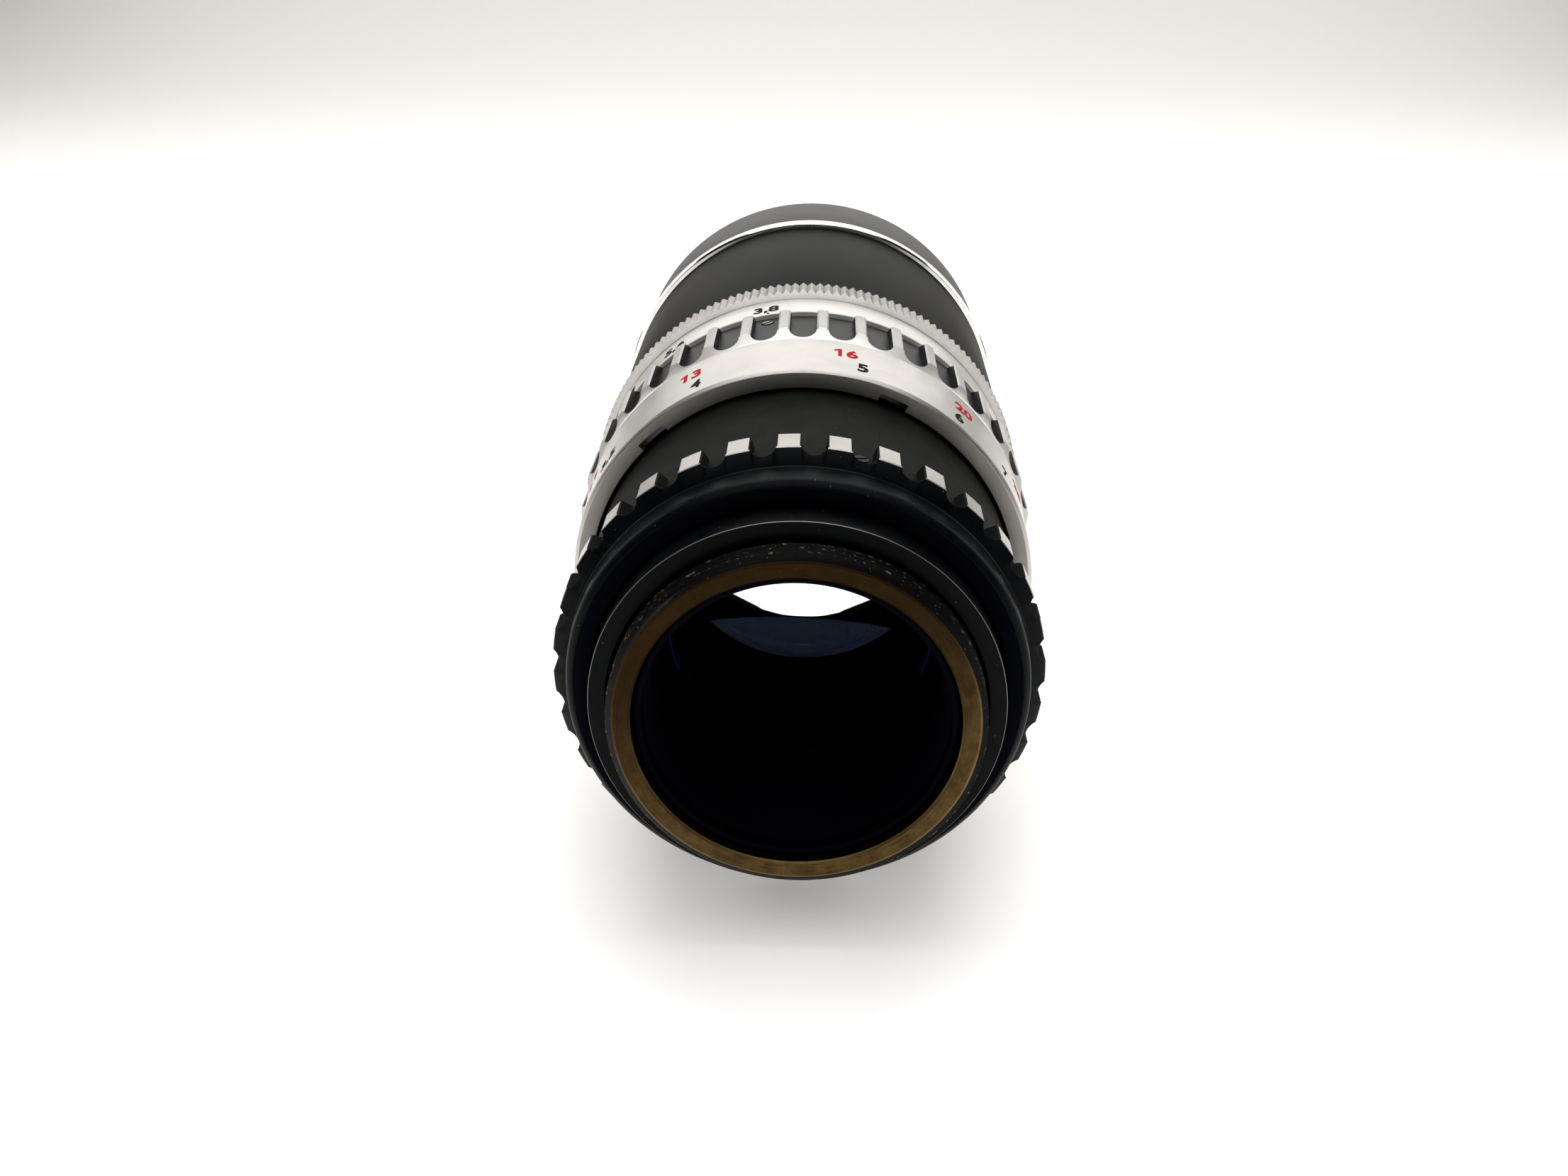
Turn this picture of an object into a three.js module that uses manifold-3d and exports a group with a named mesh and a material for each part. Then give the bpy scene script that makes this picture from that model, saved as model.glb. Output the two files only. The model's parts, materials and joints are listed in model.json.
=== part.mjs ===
// Screw-mount prime telephoto lens with a preset iris, lying on its side.
// Millimetres, +Z up. The lens stands along +Y, centred over the origin, with its mount
// at the -Y end and its widest rings touching the ground at z = 0.
// Inside the lens group the optical axis is the Y axis, and y counts from the mount end.
// Azimuths are degrees round the axis, from the top (+Z) towards +X.

import * as THREE from 'three';
import { mergeVertices } from 'three/addons/utils/BufferGeometryUtils.js';
import Module from 'manifold-3d';

const wasm = await Module();
wasm.setup();

// ---------------------------------------------------------------- driving dimensions

const GAP = 0.3; // clearance left between neighbouring pieces
const ROUND_GAP = 0.35; // the same between two faceted rings
const OUTER_STEPS = 48; // facets round the outer rings
const INNER_STEPS = 24; // facets round hidden rings
const GLASS_STEPS = 24; // facets round each glass element
const STOP_STEPS = 72; // facets round the opening that bounds the view through the lens

const LENGTH = 119.7; // mount end to front rim
const AXIS_HEIGHT = 31.0; // radius of the widest rings

// screw mount
const MOUNT_BORE_R = 18.15;
const MOUNT_END_R = 20.2; // outer edge of the bare end face
const THREAD_Y0 = 0.2;
const THREAD_CREST_R = 21.0;
const THREAD_ROOT_R = 20.45;
const THREAD_PITCH = 1.0;
const THREAD_TURNS = 3;
const MOUNT_RING_R = 20.4;
const MOUNT_RING_END = 9.6;
const SEAT_Y = 3.35; // seating face of the mount
const FLANGE_R = 23.3;
const FLANGE_EDGE = 0.4; // bevel of the outer edge of the seating face
const FLANGE_BORE_BEVEL = 0.65; // keeps the seating face clear of the thread crests
const FLANGE_END = 10.2;
const MOUNT_SCREW_R = 0.8;
const MOUNT_SCREW_Y = 5.0;
const MOUNT_SCREW_AZIMUTH = -25.5;

// fixed barrel with the rear grip collar
const COLLAR_REAR_Y = 6.85;
const COLLAR_REAR_R = 25.65;
const COLLAR_BEAD_R = 26.4;
const COLLAR_BEAD_Y = 7.9;
const COLLAR_BAND_R = 26.55; // plain band behind the grooves
const COLLAR_BAND_END = 10.3;
const COLLAR_LAND_R = 28.46;
const COLLAR_LAND_Y0 = 11.3;
const COLLAR_LAND_Y1 = 15.1;
const COLLAR_END = 16.2;
const COLLAR_GROOVES = 32;
const COLLAR_GROOVE_TIP_Y = 10.92;
const COLLAR_GROOVE_W = 2.9;
const COLLAR_GROOVE_AZIMUTH = 3.3;
const COLLAR_GROOVE_STEP = 0.1; // height of the groove floors over the barrel
const COLLAR_SCREW_R = 0.85;
const COLLAR_SCREW_Y = 14.0;
const COLLAR_SCREW_GROOVES = [1, 11, 22];
const BARREL_R = 26.8;
const BARREL_BORE_R = 24.6;
const BARREL_THROAT_R = 21.2; // narrow bore that closes on the mount ring
const BARREL_THROAT_END = 13.0;
const BARREL_END = 46.8;

// tube that stops stray light behind the rear glass
const REAR_BAFFLE_R = 17.1;
const REAR_BAFFLE_RIB_R = 16.5;
const REAR_BAFFLE_RIBS = [8, 14];
const REAR_BAFFLE_LIP_R = 15.9;
const REAR_BAFFLE_LIP_Y = 22.4;
const REAR_BAFFLE_Y0 = 1.2;
const REAR_BAFFLE_Y1 = 24.0;

// key between the fixed barrel and the lens tube
const KEY_AZIMUTH = 180;
const KEY_W = 3.0;
const KEY_T = 1.4;
const KEY_Y0 = 28;
const KEY_Y1 = 38;
const KEYWAY_LENGTH = 24;
const KEYWAY_Y = 33.5; // middle of the keyway
const KEY_SCREW_R = 0.8;
const KEY_SCREW_FROM_END = 2.5;

// focusing sleeve
const SLEEVE_Y0 = 33.4;
const SLEEVE_Y1 = 56.0;
const SLEEVE_BAND_R = 29.9;
const SLEEVE_BAND_END = 44.5;
const SLEEVE_LAND_R = 30.7;
const SLEEVE_LAND_Y0 = 46.7;
const SLEEVE_LAND_Y1 = 54.7;
const SLEEVE_BORE_R = 28.5;
const SLEEVE_REAR_BORE_R = 27.2;
const SLEEVE_REAR_BORE_END = 36.0;
const SLEEVE_REAR_BEVEL = 0.4;
const SLEEVE_LIP_R = 25.4;
const SLEEVE_LIP_Y = 52.7;
const SLEEVE_GROOVES = 38;
const SLEEVE_GROOVE_TIP_Y = 44.9;
const SLEEVE_GROOVE_W = 3.75;
const SLEEVE_GROOVE_FLOOR_R = 29.35;
const SLEEVE_GROOVE_AZIMUTH = -0.5;
const SLEEVE_NOTCHES = [{ at: 23.2, width: 7.6 }, { at: -41.9, width: 8.6 }];
const SLEEVE_NOTCH_R = 28.15;
const SLEEVE_NOTCH_DEPTH = 1.6;
const SLEEVE_SCREW_R = 0.75;
const SLEEVE_SCREW_Y = 54.2;
const SLEEVE_SCREW_GROOVES = [-1, 12, 24];
const HELICOID_R = 28.2;
const HELICOID_Y0 = 36.5;
const HELICOID_Y1 = 49.5;

// aperture rings
const PRESET_Y0 = 56.35;
const PRESET_Y1 = 62.3;
const PRESET_R = 29.95;
const APERTURE_Y0 = 62.6;
const APERTURE_Y1 = 67.1;
const APERTURE_R = 30.9;
const APERTURE_BEVEL = 0.9; // rise of the rear edge, along the axis
const RING_EDGE = 0.2;
const RING_BORE_R = 26.95;
const RING_TRAVEL = 70; // degrees from full aperture to the smallest
const STOP_PIN_R = 0.6;
const STOP_PIN_AT_R = 28.3;
const STOP_PIN_LENGTH = 3.0;
const STOP_PIN_Y = 62.5; // middle of the pin
const STOP_PIN_HOLE_Y = 60.7; // bottom of its blind hole
const STOP_PIN_AZIMUTH = 160;
const STOP_CHANNEL_END = 64.5;

// lens tube, front barrel and hood
const TUBE_R = 24.25;
const TUBE_BORE_R = 22.7;
const TUBE_Y0 = 23.0;
const DRUM_R = 26.6; // drum that the aperture rings turn on
const DRUM_Y0 = 56.8;
const DRUM_Y1 = 72.0;
const FRONT_BARREL_R = 30.2;
const FRONT_BARREL_EDGE = 0.5;
const FRONT_BARREL_BORE_R = 28.2;
const FRONT_BARREL_Y0 = 67.4;
const FRONT_BARREL_Y1 = 101.8;
const TRIM_Y1 = 104.7;
const TRIM_EDGE = 0.35;
const HOOD_R = 30.4;
const HOOD_EDGE = 0.4;
const HOOD_BORE_R = 28.7;
const HOOD_SEAT_R = 27.0;
const HOOD_SEAT_END = 106.6;
const RETAINING_RING_R = 26.0;
const RETAINING_RING_Y = [51.5, 52.4];

// cells of the glass elements
const REAR_CELL = {
  apertureR: 15.2, tailR: 17.6, seatR: 16.9, bodyR: 20.4,
  y0: 36.0, coneY0: 37.4, seatY0: 38.0, coneY1: 39.4, shoulderY: 44.4, seatY1: 46.0, y1: 47.6,
};
const FRONT_CELL = {
  apertureR: 19.6, thirdR: 20.8, secondR: 21.7, firstR: 22.6, outerR: 24.5,
  y0: 67.0, thirdY: 68.2, stepY: 74.0, secondY: 79.0, firstY: 87.8, y1: 99.0,
};
const INNER_BAFFLE_R = 18.8;
const INNER_BAFFLE_RIB_R = 18.2;
const INNER_BAFFLE_RIBS = [50.5, 54.0, 57.5];
const INNER_BAFFLE_Y0 = 48.0;
const INNER_BAFFLE_Y1 = 59.2;
const NAME_RING = { boreR: 20.6, flatR: 22.4, rimR: 27.8, y0: 99.4, coneY: 103.2, y1: 104.6, wall: 1.2 };

// glass elements: rim radius, heights of the rims and swell of each surface
const REAR_ELEMENT = { rimR: 16.5, rearY: 40.2, rearSwell: -1.6, frontY: 43.2, frontSwell: 0.9 };
const THIRD_ELEMENT = { rimR: 20.4, rearY: 68.8, rearSwell: -2.4, frontY: 73.6, frontSwell: 2.6 };
const SECOND_ELEMENT = { rimR: 21.3, rearY: 79.6, rearSwell: 1.0, frontY: 83.4, frontSwell: 3.4 };
const FRONT_ELEMENT = { rimR: 22.2, rearY: 88.4, rearSwell: 0.0, frontY: 91.4, frontSwell: 4.0 };

// rings that hold the elements: bore, outer radius and both ends
const REAR_RETAINER = [15.4, 16.55, 43.65, 45.65];
const THIRD_RETAINER = [19.7, 20.45, 74.2, 76.0];
const CELL_SPACER = [20.4, 21.35, 84.05, 87.8];
const FRONT_RETAINER = [20.9, 22.25, 92.3, 94.6];

// click stop of the preset ring
const CLICK_Y = 59.3;
const CLICK_AZIMUTH = 200;
const CLICK_BALL_R = 0.9;
const CLICK_POCKET_R = 23.6; // bottom of the pocket
const CLICK_SPRING_R = 0.8;
const CLICK_SPRING_BORE_R = 0.45;
const CLICK_SPRING_LENGTH = 0.6;

// iris
const BLADES = 9;
const BLADE_LEVELS = 3;
const BLADE_LEVEL_STEP = 0.65;
const BLADE_THICKNESS = 0.25;
const BLADE_SPAN = 84; // degrees of arc from the pivot to the tip
const BLADE_CLEARANCE = 0.35;
const BLADE_INNER_R = 16.4;
const BLADE_OUTER_R = 19.8;
const PIVOT_AT_R = 21.1;
const PIVOT_LUG_R = 1.05;
const PIN_R = 0.45;
const PIN_DEPTH = 0.3; // base plate left under the pivot pins
const IRIS_CLEAR_R = 15.8;
const IRIS_R = TUBE_BORE_R - GAP;
const IRIS_BASE_Y = 59.6;
const IRIS_BASE_T = 1.2;
const ROTOR_Y0 = 63.1;
const ROTOR_Y1 = 65.3;
const ROTOR_BORE_R = 18.3;
const ROTOR_SLOT = { width: 1.4, depth: 1.6, length: 2.6, atR: 20.3, azimuth: 20 };
const IRIS_RETAINER = [19.0, 22.4, 65.65, 66.65];
const DRIVE_PIN_R = 0.9;
const DRIVE_PIN_Y = (ROTOR_Y0 + ROTOR_Y1) / 2;
const DRIVE_PIN_AZIMUTH = 90;

// ---------------------------------------------------------------- shape helpers

const rad = THREE.MathUtils.degToRad;

/** Position-only indexed copy of a geometry with shared vertices and no empty faces. */
function weld(geometry) {
  const bare = geometry.clone();
  for (const name of Object.keys(bare.attributes)) {
    if (name !== 'position') bare.deleteAttribute(name);
  }
  const merged = mergeVertices(bare, 1e-4);
  const index = merged.index.array;
  const kept = [];
  for (let i = 0; i < index.length; i += 3) {
    const [a, b, c] = [index[i], index[i + 1], index[i + 2]];
    if (a !== b && b !== c && c !== a) kept.push(a, b, c);
  }
  merged.setIndex(kept);
  return merged;
}

/** three.js geometry to a manifold-3d solid. */
function toSolid(geometry) {
  const merged = weld(geometry);
  return new wasm.Manifold(new wasm.Mesh({
    numProp: 3,
    vertProperties: new Float32Array(merged.attributes.position.array),
    triVerts: new Uint32Array(merged.index.array),
  }));
}

/** manifold-3d solid back to a three.js geometry. */
function toGeometry(solid) {
  const mesh = solid.getMesh();
  const geometry = new THREE.BufferGeometry();
  geometry.setAttribute('position', new THREE.BufferAttribute(mesh.vertProperties, 3));
  geometry.setIndex(new THREE.BufferAttribute(mesh.triVerts, 1));
  return geometry;
}

/** Subtract every cutter geometry from a geometry. */
function cut(geometry, cutters) {
  let solid = toSolid(geometry);
  for (const cutter of cutters) solid = solid.subtract(toSolid(cutter));
  return toGeometry(solid);
}

/** Join geometries that overlap into one body. */
function join(geometries) {
  let solid = toSolid(geometries[0]);
  for (const other of geometries.slice(1)) solid = solid.add(toSolid(other));
  return toGeometry(solid);
}

/** Solid of revolution from [radius, y] corners, with a facet edge at an azimuth. */
function revolve(corners, steps, firstEdge = 0) {
  const points = corners.map(([r, y]) => new THREE.Vector2(r, y));
  if (THREE.ShapeUtils.area(points) < 0) points.reverse();
  const onAxis = points.some((p) => p.x === 0);
  if (onAxis) {
    while (points[0].x !== 0 || points[points.length - 1].x !== 0) points.push(points.shift());
  } else {
    points.push(points[0].clone());
  }
  return weld(new THREE.LatheGeometry(points, steps, rad(firstEdge), 2 * Math.PI));
}

/** Plain ring of rectangular section. */
function tube(innerR, outerR, y0, y1, steps = INNER_STEPS) {
  return revolve([[innerR, y0], [outerR, y0], [outerR, y1], [innerR, y1]], steps);
}

/** Corner points of a lens surface from the axis to its rim; swell > 0 bulges towards +Y. */
function opticalSurface(rimR, y, swell, points = 3) {
  return Array.from({ length: points + 1 }, (_, i) => {
    const r = (rimR * i) / points;
    return [r, y + swell * (1 - (r / rimR) ** 2)];
  });
}

/** Glass element between two optical surfaces. */
function glass({ rimR, rearY, rearSwell, frontY, frontSwell }) {
  const rear = opticalSurface(rimR, rearY, rearSwell);
  const front = opticalSurface(rimR, frontY, frontSwell).reverse();
  return revolve([...rear, ...front], GLASS_STEPS);
}

/** Turn a geometry made at the top of the lens to an azimuth. */
function atAzimuth(geometry, degrees) {
  return geometry.clone().rotateY(rad(degrees));
}

/** Radial peg standing between two radii at the top of the lens. */
function peg(radius, innerR, outerR, y, steps = 8) {
  const geometry = new THREE.CylinderGeometry(radius, radius, outerR - innerR, steps);
  return geometry.rotateX(Math.PI / 2).translate(0, y, (innerR + outerR) / 2);
}

/** Grub screw with a screwdriver slot, standing between two radii at the top. */
function grubScrew(radius, innerR, outerR, y) {
  const [slotWidth, slotDepth] = [0.35, 0.5];
  const slot = new THREE.BoxGeometry(3 * radius, slotWidth, 2 * slotDepth).translate(0, y, outerR);
  return cut(peg(radius, innerR, outerR, y), [slot]);
}

/** Slot of a milled grip: round end towards the mount, open towards the front. */
function gripSlot(width, tipY, endY, floorR) {
  const half = width / 2;
  const shape = new THREE.Shape();
  shape.moveTo(half, endY);
  shape.lineTo(-half, endY);
  shape.lineTo(-half, tipY + half);
  shape.absarc(0, tipY + half, half, Math.PI, 2 * Math.PI, false);
  shape.lineTo(half, endY);
  const settings = { depth: 6, bevelEnabled: false, curveSegments: 2 };
  return new THREE.ExtrudeGeometry(shape, settings).translate(0, 0, floorR);
}

/** Sector of a ring, centred on the top, from one radius and y to another. */
function sector(innerR, outerR, y0, y1, degrees, steps = 6) {
  const half = rad(degrees) / 2;
  const shape = new THREE.Shape();
  shape.absarc(0, 0, outerR, Math.PI / 2 - half, Math.PI / 2 + half, false);
  shape.absarc(0, 0, innerR, Math.PI / 2 + half, Math.PI / 2 - half, true);
  shape.closePath();
  const settings = { depth: y1 - y0, bevelEnabled: false, curveSegments: steps };
  return new THREE.ExtrudeGeometry(shape, settings).rotateX(Math.PI / 2).translate(0, y1, 0);
}

/** Mark n equal azimuths starting at a first one. */
function azimuths(count, first) {
  return Array.from({ length: count }, (_, i) => first + (360 * i) / count);
}

// ---------------------------------------------------------------- materials

const finishes = {
  brass: { color: 0x8a7440, roughness: 0.42, metalness: 0.9 },
  blackMetal: { color: 0x141517, roughness: 0.5, metalness: 0.4 },
  greyBarrel: { color: 0x2e2e2e, roughness: 0.6, metalness: 0.3 },
  satinSilver: { color: 0xd8d5ce, roughness: 0.35, metalness: 0.9 },
  frontBlack: { color: 0x3a3a38, roughness: 0.45, metalness: 0.4 },
  chrome: { color: 0xf2f2f0, roughness: 0.12, metalness: 1.0 },
  rimGrey: { color: 0x686862, roughness: 0.5, metalness: 0.6 },
  innerBlack: { color: 0x0b0b0c, roughness: 0.85, metalness: 0.1 },
  coatedGlass: { color: 0x7088b8, roughness: 0.03, metalness: 0.0, transparent: true, opacity: 0.35 },
  steel: { color: 0x8d8d8a, roughness: 0.35, metalness: 0.9 },
  bladeSteel: { color: 0x2a2a2e, roughness: 0.4, metalness: 0.8 },
};

const lens = new THREE.Group();
lens.position.set(0, -LENGTH / 2, AXIS_HEIGHT);

/** Add one named sub-part with its own material. */
function addPart(name, geometry, finish) {
  const mesh = new THREE.Mesh(geometry, new THREE.MeshStandardMaterial(finishes[finish]));
  mesh.name = name;
  lens.add(mesh);
  return mesh;
}

// ---------------------------------------------------------------- mount and fixed barrel

/** Threaded ring of the mount; plain ridges stand for the thread. */
function mountThreadRing() {
  const corners = [[MOUNT_BORE_R, 0], [MOUNT_END_R, 0]];
  for (let i = 0; i < THREAD_TURNS; i += 1) {
    const y = THREAD_Y0 + i * THREAD_PITCH;
    corners.push([THREAD_ROOT_R, y], [THREAD_CREST_R, y + THREAD_PITCH / 2]);
  }
  corners.push([MOUNT_RING_R, THREAD_Y0 + THREAD_TURNS * THREAD_PITCH]);
  corners.push([MOUNT_RING_R, MOUNT_RING_END], [MOUNT_BORE_R, MOUNT_RING_END]);
  return revolve(corners, INNER_STEPS);
}

const mountScrewAzimuths = azimuths(3, MOUNT_SCREW_AZIMUTH);

/** Flange that seats on the camera. */
function mountFlange() {
  const boreR = MOUNT_RING_R + ROUND_GAP;
  const body = revolve([
    [boreR + FLANGE_BORE_BEVEL, SEAT_Y],
    [FLANGE_R - FLANGE_EDGE, SEAT_Y],
    [FLANGE_R, SEAT_Y + FLANGE_EDGE],
    [FLANGE_R, FLANGE_END],
    [boreR, FLANGE_END],
    [boreR, SEAT_Y + FLANGE_BORE_BEVEL],
  ], OUTER_STEPS);
  const hole = peg(MOUNT_SCREW_R + GAP, boreR - 1, FLANGE_R + 1, MOUNT_SCREW_Y);
  return cut(body, mountScrewAzimuths.map((a) => atAzimuth(hole, a)));
}

const collarScrewAzimuths = COLLAR_SCREW_GROOVES.map(
  (n) => COLLAR_GROOVE_AZIMUTH + (360 * n) / COLLAR_GROOVES,
);
const keyScrewYs = [KEY_Y0 + KEY_SCREW_FROM_END, KEY_Y1 - KEY_SCREW_FROM_END];

/** Fixed barrel with the milled rear collar; its grooves are open towards the front. */
function fixedBarrel() {
  const seatR = FLANGE_R + ROUND_GAP;
  const body = revolve([
    [seatR, COLLAR_REAR_Y],
    [COLLAR_REAR_R, COLLAR_REAR_Y],
    [COLLAR_BEAD_R, COLLAR_BEAD_Y],
    [COLLAR_BAND_R, COLLAR_BAND_END],
    [COLLAR_LAND_R, COLLAR_LAND_Y0],
    [COLLAR_LAND_R, COLLAR_LAND_Y1],
    [BARREL_R, COLLAR_END],
    [BARREL_R, BARREL_END],
    [BARREL_BORE_R, BARREL_END],
    [BARREL_BORE_R, BARREL_THROAT_END],
    [BARREL_THROAT_R, BARREL_THROAT_END],
    [BARREL_THROAT_R, FLANGE_END + GAP],
    [seatR, FLANGE_END + GAP],
  ], COLLAR_GROOVES, COLLAR_GROOVE_AZIMUTH + 180 / COLLAR_GROOVES);
  const floorR = BARREL_R + COLLAR_GROOVE_STEP;
  const slot = gripSlot(COLLAR_GROOVE_W, COLLAR_GROOVE_TIP_Y, COLLAR_END + 1, floorR);
  const cutters = azimuths(COLLAR_GROOVES, COLLAR_GROOVE_AZIMUTH).map((a) => atAzimuth(slot, a));
  const collarHole = peg(COLLAR_SCREW_R + GAP, BARREL_BORE_R - 1, COLLAR_LAND_R + 1, COLLAR_SCREW_Y);
  for (const a of collarScrewAzimuths) cutters.push(atAzimuth(collarHole, a));
  for (const y of keyScrewYs) {
    cutters.push(atAzimuth(peg(KEY_SCREW_R + GAP, BARREL_BORE_R - 1, BARREL_R + 1, y), KEY_AZIMUTH));
  }
  return cut(body, cutters);
}

/** Tube with light-stopping ribs and a lip at its front end. */
function rearBaffle() {
  const outerR = MOUNT_BORE_R - ROUND_GAP;
  const corners = [[outerR, REAR_BAFFLE_Y1], [outerR, REAR_BAFFLE_Y0], [REAR_BAFFLE_R, REAR_BAFFLE_Y0]];
  for (const y of REAR_BAFFLE_RIBS) {
    corners.push([REAR_BAFFLE_R, y], [REAR_BAFFLE_RIB_R, y + 0.5], [REAR_BAFFLE_R, y + 1]);
  }
  corners.push([REAR_BAFFLE_R, REAR_BAFFLE_LIP_Y], [REAR_BAFFLE_LIP_R, REAR_BAFFLE_LIP_Y]);
  corners.push([REAR_BAFFLE_LIP_R, REAR_BAFFLE_Y1]);
  return revolve(corners, INNER_STEPS);
}

addPart('mount_thread_ring', mountThreadRing(), 'brass');
addPart('mount_flange', mountFlange(), 'blackMetal');
addPart('fixed_barrel', fixedBarrel(), 'greyBarrel');
addPart('rear_baffle', rearBaffle(), 'innerBlack');

const mountScrew = grubScrew(MOUNT_SCREW_R, MOUNT_RING_R + 0.4, FLANGE_R - 0.15, MOUNT_SCREW_Y);
mountScrewAzimuths.forEach((a, i) => {
  addPart(`mount_set_screw_${i + 1}`, atAzimuth(mountScrew, a), 'steel');
});

const collarScrew = grubScrew(COLLAR_SCREW_R, BARREL_BORE_R + 0.1, BARREL_R - 0.1, COLLAR_SCREW_Y);
collarScrewAzimuths.forEach((a, i) => {
  addPart(`collar_set_screw_${i + 1}`, atAzimuth(collarScrew, a), 'blackMetal');
});

/** Key that lets the lens tube slide but not turn. */
function guideKey() {
  const outerR = BARREL_BORE_R - ROUND_GAP - 0.05;
  const block = new THREE.BoxGeometry(KEY_W, KEY_Y1 - KEY_Y0, KEY_T);
  return block.translate(0, (KEY_Y0 + KEY_Y1) / 2, outerR - KEY_T / 2);
}

addPart('guide_key', weld(atAzimuth(guideKey(), KEY_AZIMUTH)), 'steel');
keyScrewYs.forEach((y, i) => {
  const screw = grubScrew(KEY_SCREW_R, BARREL_BORE_R + 0.1, BARREL_R - 0.1, y);
  addPart(`guide_key_screw_${i + 1}`, atAzimuth(screw, KEY_AZIMUTH), 'steel');
});

// ---------------------------------------------------------------- sliding lens unit

/** Tube that carries the glass, the iris and the aperture rings. */
function lensTube() {
  const body = revolve([
    [TUBE_BORE_R, TUBE_Y0],
    [TUBE_R, TUBE_Y0],
    [TUBE_R, DRUM_Y0],
    [DRUM_R, DRUM_Y0],
    [DRUM_R, DRUM_Y1],
    [TUBE_BORE_R, DRUM_Y1],
  ], OUTER_STEPS);
  const throughWall = 3 * (TUBE_R - TUBE_BORE_R);
  const keyway = new THREE.BoxGeometry(KEY_W + 2 * GAP, KEYWAY_LENGTH, throughWall)
    .translate(0, KEYWAY_Y, TUBE_R);
  const slotHalf = DRIVE_PIN_R + GAP;
  const driveSlot = sector(
    TUBE_BORE_R - 1, DRUM_R + 1, DRIVE_PIN_Y - slotHalf, DRIVE_PIN_Y + slotHalf, RING_TRAVEL + 8, 4,
  );
  const clickPocket = peg(CLICK_BALL_R + GAP, CLICK_POCKET_R, DRUM_R + 1, CLICK_Y);
  return cut(body, [
    atAzimuth(keyway, KEY_AZIMUTH),
    atAzimuth(driveSlot, DRIVE_PIN_AZIMUTH + RING_TRAVEL / 2),
    atAzimuth(clickPocket, CLICK_AZIMUTH),
  ]);
}

/** Tube between the rear glass and the iris, ribbed inside. */
function innerBaffle() {
  const corners = [
    [INNER_BAFFLE_R, INNER_BAFFLE_Y1],
    [IRIS_R, INNER_BAFFLE_Y1],
    [IRIS_R, INNER_BAFFLE_Y0],
    [INNER_BAFFLE_R, INNER_BAFFLE_Y0],
  ];
  for (const y of INNER_BAFFLE_RIBS) {
    corners.push([INNER_BAFFLE_R, y - 1], [INNER_BAFFLE_RIB_R, y], [INNER_BAFFLE_R, y + 1]);
  }
  return revolve(corners, INNER_STEPS);
}

addPart('lens_tube', lensTube(), 'innerBlack');
addPart('focus_retaining_ring', tube(TUBE_R + GAP, RETAINING_RING_R, ...RETAINING_RING_Y), 'blackMetal');
addPart('inner_baffle', innerBaffle(), 'innerBlack');

/** Cell of the rear glass, with an open groove that its retaining ring stands in. */
function rearCell() {
  const c = REAR_CELL;
  return revolve([
    [c.apertureR, c.y0],
    [c.tailR, c.y0],
    [c.tailR, c.coneY0],
    [c.bodyR, c.coneY1],
    [c.bodyR, c.shoulderY],
    [IRIS_R, c.shoulderY],
    [IRIS_R, c.y1],
    [c.apertureR, c.y1],
    [c.apertureR, c.seatY1],
    [c.seatR, c.seatY1],
    [c.seatR, c.seatY0],
    [c.apertureR, c.seatY0 - 0.8],
  ], INNER_STEPS);
}

addPart('rear_cell', rearCell(), 'innerBlack');
addPart('rear_element', glass(REAR_ELEMENT), 'coatedGlass');
addPart('rear_retaining_ring', tube(...REAR_RETAINER), 'innerBlack');

/** Cell of the three front elements, stepped wider towards the front. */
function frontCell() {
  const c = FRONT_CELL;
  return revolve([
    [c.apertureR, c.y0],
    [IRIS_R, c.y0],
    [IRIS_R, c.stepY],
    [c.outerR, c.stepY],
    [c.outerR, c.y1],
    [c.firstR, c.y1],
    [c.firstR, c.firstY],
    [c.secondR, c.firstY],
    [c.secondR, c.secondY],
    [c.thirdR, c.secondY],
    [c.thirdR, c.thirdY],
    [c.apertureR, c.thirdY],
  ], INNER_STEPS);
}

addPart('front_cell', frontCell(), 'innerBlack');
addPart('third_element', glass(THIRD_ELEMENT), 'coatedGlass');
addPart('third_retaining_ring', tube(...THIRD_RETAINER), 'innerBlack');
addPart('second_element', glass(SECOND_ELEMENT), 'coatedGlass');
addPart('cell_spacer', tube(...CELL_SPACER), 'innerBlack');
addPart('front_element', glass(FRONT_ELEMENT), 'coatedGlass');
addPart('front_retaining_ring', tube(...FRONT_RETAINER), 'innerBlack');

/** Outer shell of the front end, closing on the drum behind a short inner cone. */
function frontBarrel() {
  const innerR = DRUM_R + GAP;
  const coneY = DRUM_Y1 + 1;
  return revolve([
    [innerR, FRONT_BARREL_Y0],
    [FRONT_BARREL_R - FRONT_BARREL_EDGE, FRONT_BARREL_Y0],
    [FRONT_BARREL_R, FRONT_BARREL_Y0 + FRONT_BARREL_EDGE],
    [FRONT_BARREL_R, FRONT_BARREL_Y1],
    [FRONT_BARREL_BORE_R, FRONT_BARREL_Y1],
    [FRONT_BARREL_BORE_R, coneY + 1.6],
    [innerR, coneY],
  ], OUTER_STEPS);
}

/** Bright ring with bevelled edges between the front barrel and the hood. */
function trimRing() {
  const y0 = FRONT_BARREL_Y1 + GAP;
  return revolve([
    [FRONT_BARREL_BORE_R, y0],
    [AXIS_HEIGHT - TRIM_EDGE, y0],
    [AXIS_HEIGHT, y0 + TRIM_EDGE],
    [AXIS_HEIGHT, TRIM_Y1 - TRIM_EDGE],
    [AXIS_HEIGHT - TRIM_EDGE, TRIM_Y1],
    [FRONT_BARREL_BORE_R, TRIM_Y1],
  ], OUTER_STEPS);
}

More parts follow.
